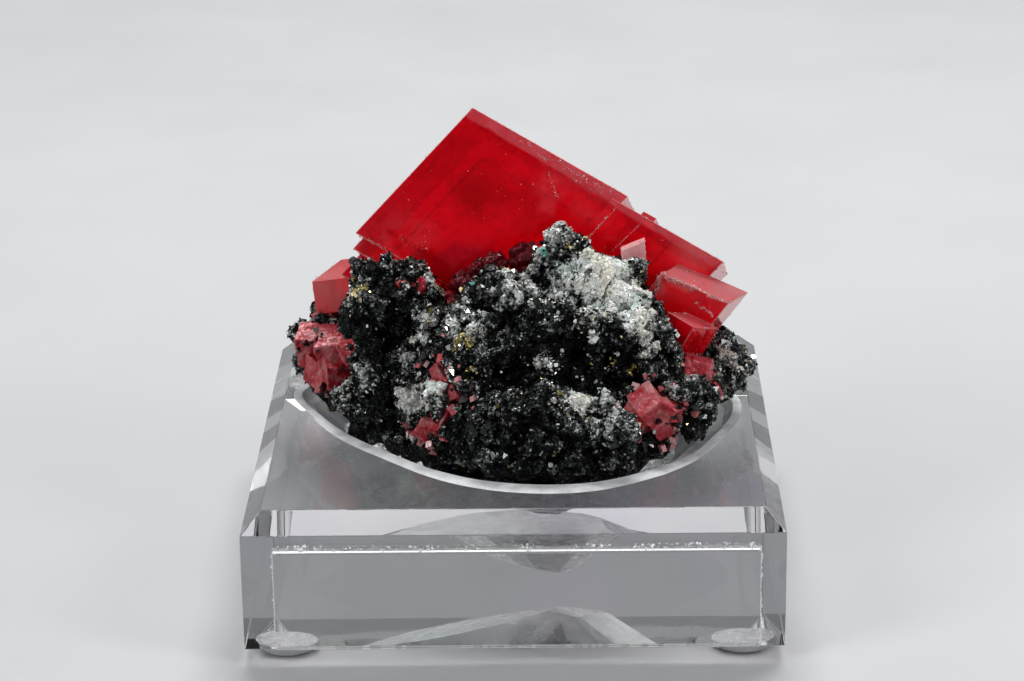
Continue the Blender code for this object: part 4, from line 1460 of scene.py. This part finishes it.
def scatter_chips(surface, rock, crystals, metal):
    """Splinters along the crystals' edges, specks and dust on their faces, small rhombs round them."""
    draw = np.random.default_rng(77)
    chips = crystal_chips()
    for node, count, middle in EDGE_CHIPS:
        places = sharp_edge_places(node, draw, count, rock)
        sizes = log_sizes(draw, count, middle, 0.45, 0.2)
        crystal_cloud(
            "edge_chips_" + node, draw, places, sizes, turns(draw, count), ("shard", "rhomb", "blade"),
            np.clip(draw.normal(0.72, 0.2, count), 0, 1), chips, "pink_rhodochrosite", 0.5,
        )
    for number, row in enumerate(VEILS, 1):
        name = "surface_veil_%d" % number
        splinter_line(name, draw, number, row, crystals, -2.8, 0.24, (0.3, 0.95), chips)
    strew_specks(draw, rock, metal)

    dusty = Surface(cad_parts["main_crystal"], rock)
    spots = dusty.spots(draw, DUST_COUNT, (dusty.gaps > CLEAR_OF_ROCK) + 0.0)
    sizes = log_sizes(draw, DUST_COUNT, -3.1, 0.4, 0.16)
    crystal_cloud(
        "crystal_dust", draw, spots.lifted(sizes, 0.4), sizes, turns(draw, DUST_COUNT),
        ("shard", "lump"), draw.uniform(0.6, 1, DUST_COUNT), chips, "pink_rhodochrosite",
    )

    strew_rhombs(draw, surface, chips)
    for number, row in enumerate(BROKEN_EDGES, 1):
        name = "broken_edge_%d" % number
        splinter_line(name, draw, number, row, crystals, -2.4, 0.3, (0.3, 0.9), chips)


# ---------------------------------------------------------------- light, floor and camera


CAMERA_PLACE = Vector((6.92, -453.19, 199.45)) * MM
CAMERA_DOWN, CAMERA_YAW, CAMERA_ROLL = (math.radians(turn) for turn in (19.884, -0.917, -0.815))
FOCAL_PIXELS = 3175
PICTURE_WIDTH = 1024
SENSOR_WIDTH = 36

# Name, place, what it points at, size in metres, power in watts
SOFTBOXES = (
    ("overhead_softbox", (0.05, 0.32, 0.75), (0, 0, 0.04), (0.5, 0.36), 7.0),
    ("left_softbox", (-0.62, -0.42, 0.5), (0, 0, 0.03), (0.3, 0.4), 2.9),
    ("right_softbox", (0.6, -0.3, 0.38), (0, 0, 0.03), (0.18, 0.36), 1.9),
)
SKY_COLOUR, SKY_STRENGTH = (0.86, 0.88, 0.92, 1), 0.27
FLOOR_SIDE = 6


def make_camera():
    data = bpy.data.cameras.new("camera")
    data.sensor_width = SENSOR_WIDTH
    data.lens = FOCAL_PIXELS / PICTURE_WIDTH * SENSOR_WIDTH
    data.clip_start, data.clip_end = 0.01, 20
    camera = add_piece("camera", data)
    down, yaw, roll = CAMERA_DOWN, CAMERA_YAW, CAMERA_ROLL
    forward = Vector((math.sin(yaw) * math.cos(down), math.cos(yaw) * math.cos(down), -math.sin(down)))
    right = Vector((math.cos(yaw), -math.sin(yaw), 0))
    up = right.cross(forward)
    rolled_right = right * math.cos(roll) + up * math.sin(roll)
    rolled_up = up * math.cos(roll) - right * math.sin(roll)
    turn = Matrix((rolled_right, rolled_up, -forward)).transposed().to_4x4()
    camera.matrix_world = Matrix.Translation(CAMERA_PLACE) @ turn
    bpy.context.scene.camera = camera


def softbox(name, place, target, size, power):
    data = bpy.data.lights.new(name, "AREA")
    data.shape = "RECTANGLE"
    data.size, data.size_y = size
    data.energy = power
    light = add_piece(name, data)
    light.location = place
    light.rotation_euler = (Vector(target) - Vector(place)).to_track_quat("-Z", "Y").to_euler()


def make_light():
    for row in SOFTBOXES:
        softbox(*row)
    world = bpy.data.worlds.new("studio")
    world.use_nodes = True
    background = world.node_tree.nodes["Background"]
    background.inputs["Color"].default_value = SKY_COLOUR
    background.inputs["Strength"].default_value = SKY_STRENGTH
    bpy.context.scene.world = world
    bpy.context.scene.view_settings.view_transform = "Standard"


def make_floor():
    bpy.ops.object.select_all(action="DESELECT")
    bpy.ops.mesh.primitive_plane_add(size=FLOOR_SIDE, location=(0, 1, 0))
    floor = settle(bpy.context.object)
    floor.name = "floor"
    with editing(floor, "FACE"):
        bpy.ops.mesh.select_all(action="SELECT")
        bpy.ops.mesh.subdivide(number_cuts=6)
    floor.data.materials.append(floor_paper())


make_camera()
make_light()
make_floor()
clear_plastic = bumper_plastic()
milky_glue = glue_plastic()
crystal_tree = tree_of(*(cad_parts[node] for node in CRYSTAL_NODES))
make_stand()
make_label(milky_glue)
make_glue(milky_glue)
make_feet(clear_plastic, milky_glue)
make_main_crystal()
make_small_crystals()
make_dark_red_crystals()
stone = make_rock(crystal_tree)
stone_tree = tree_of(stone)
stone_surface = Surface(stone, crystal_tree)
sulphide = sulphide_grains()
grow_grains(stone_surface, sulphide)
scatter_chips(stone_surface, stone_tree, crystal_tree, sulphide)
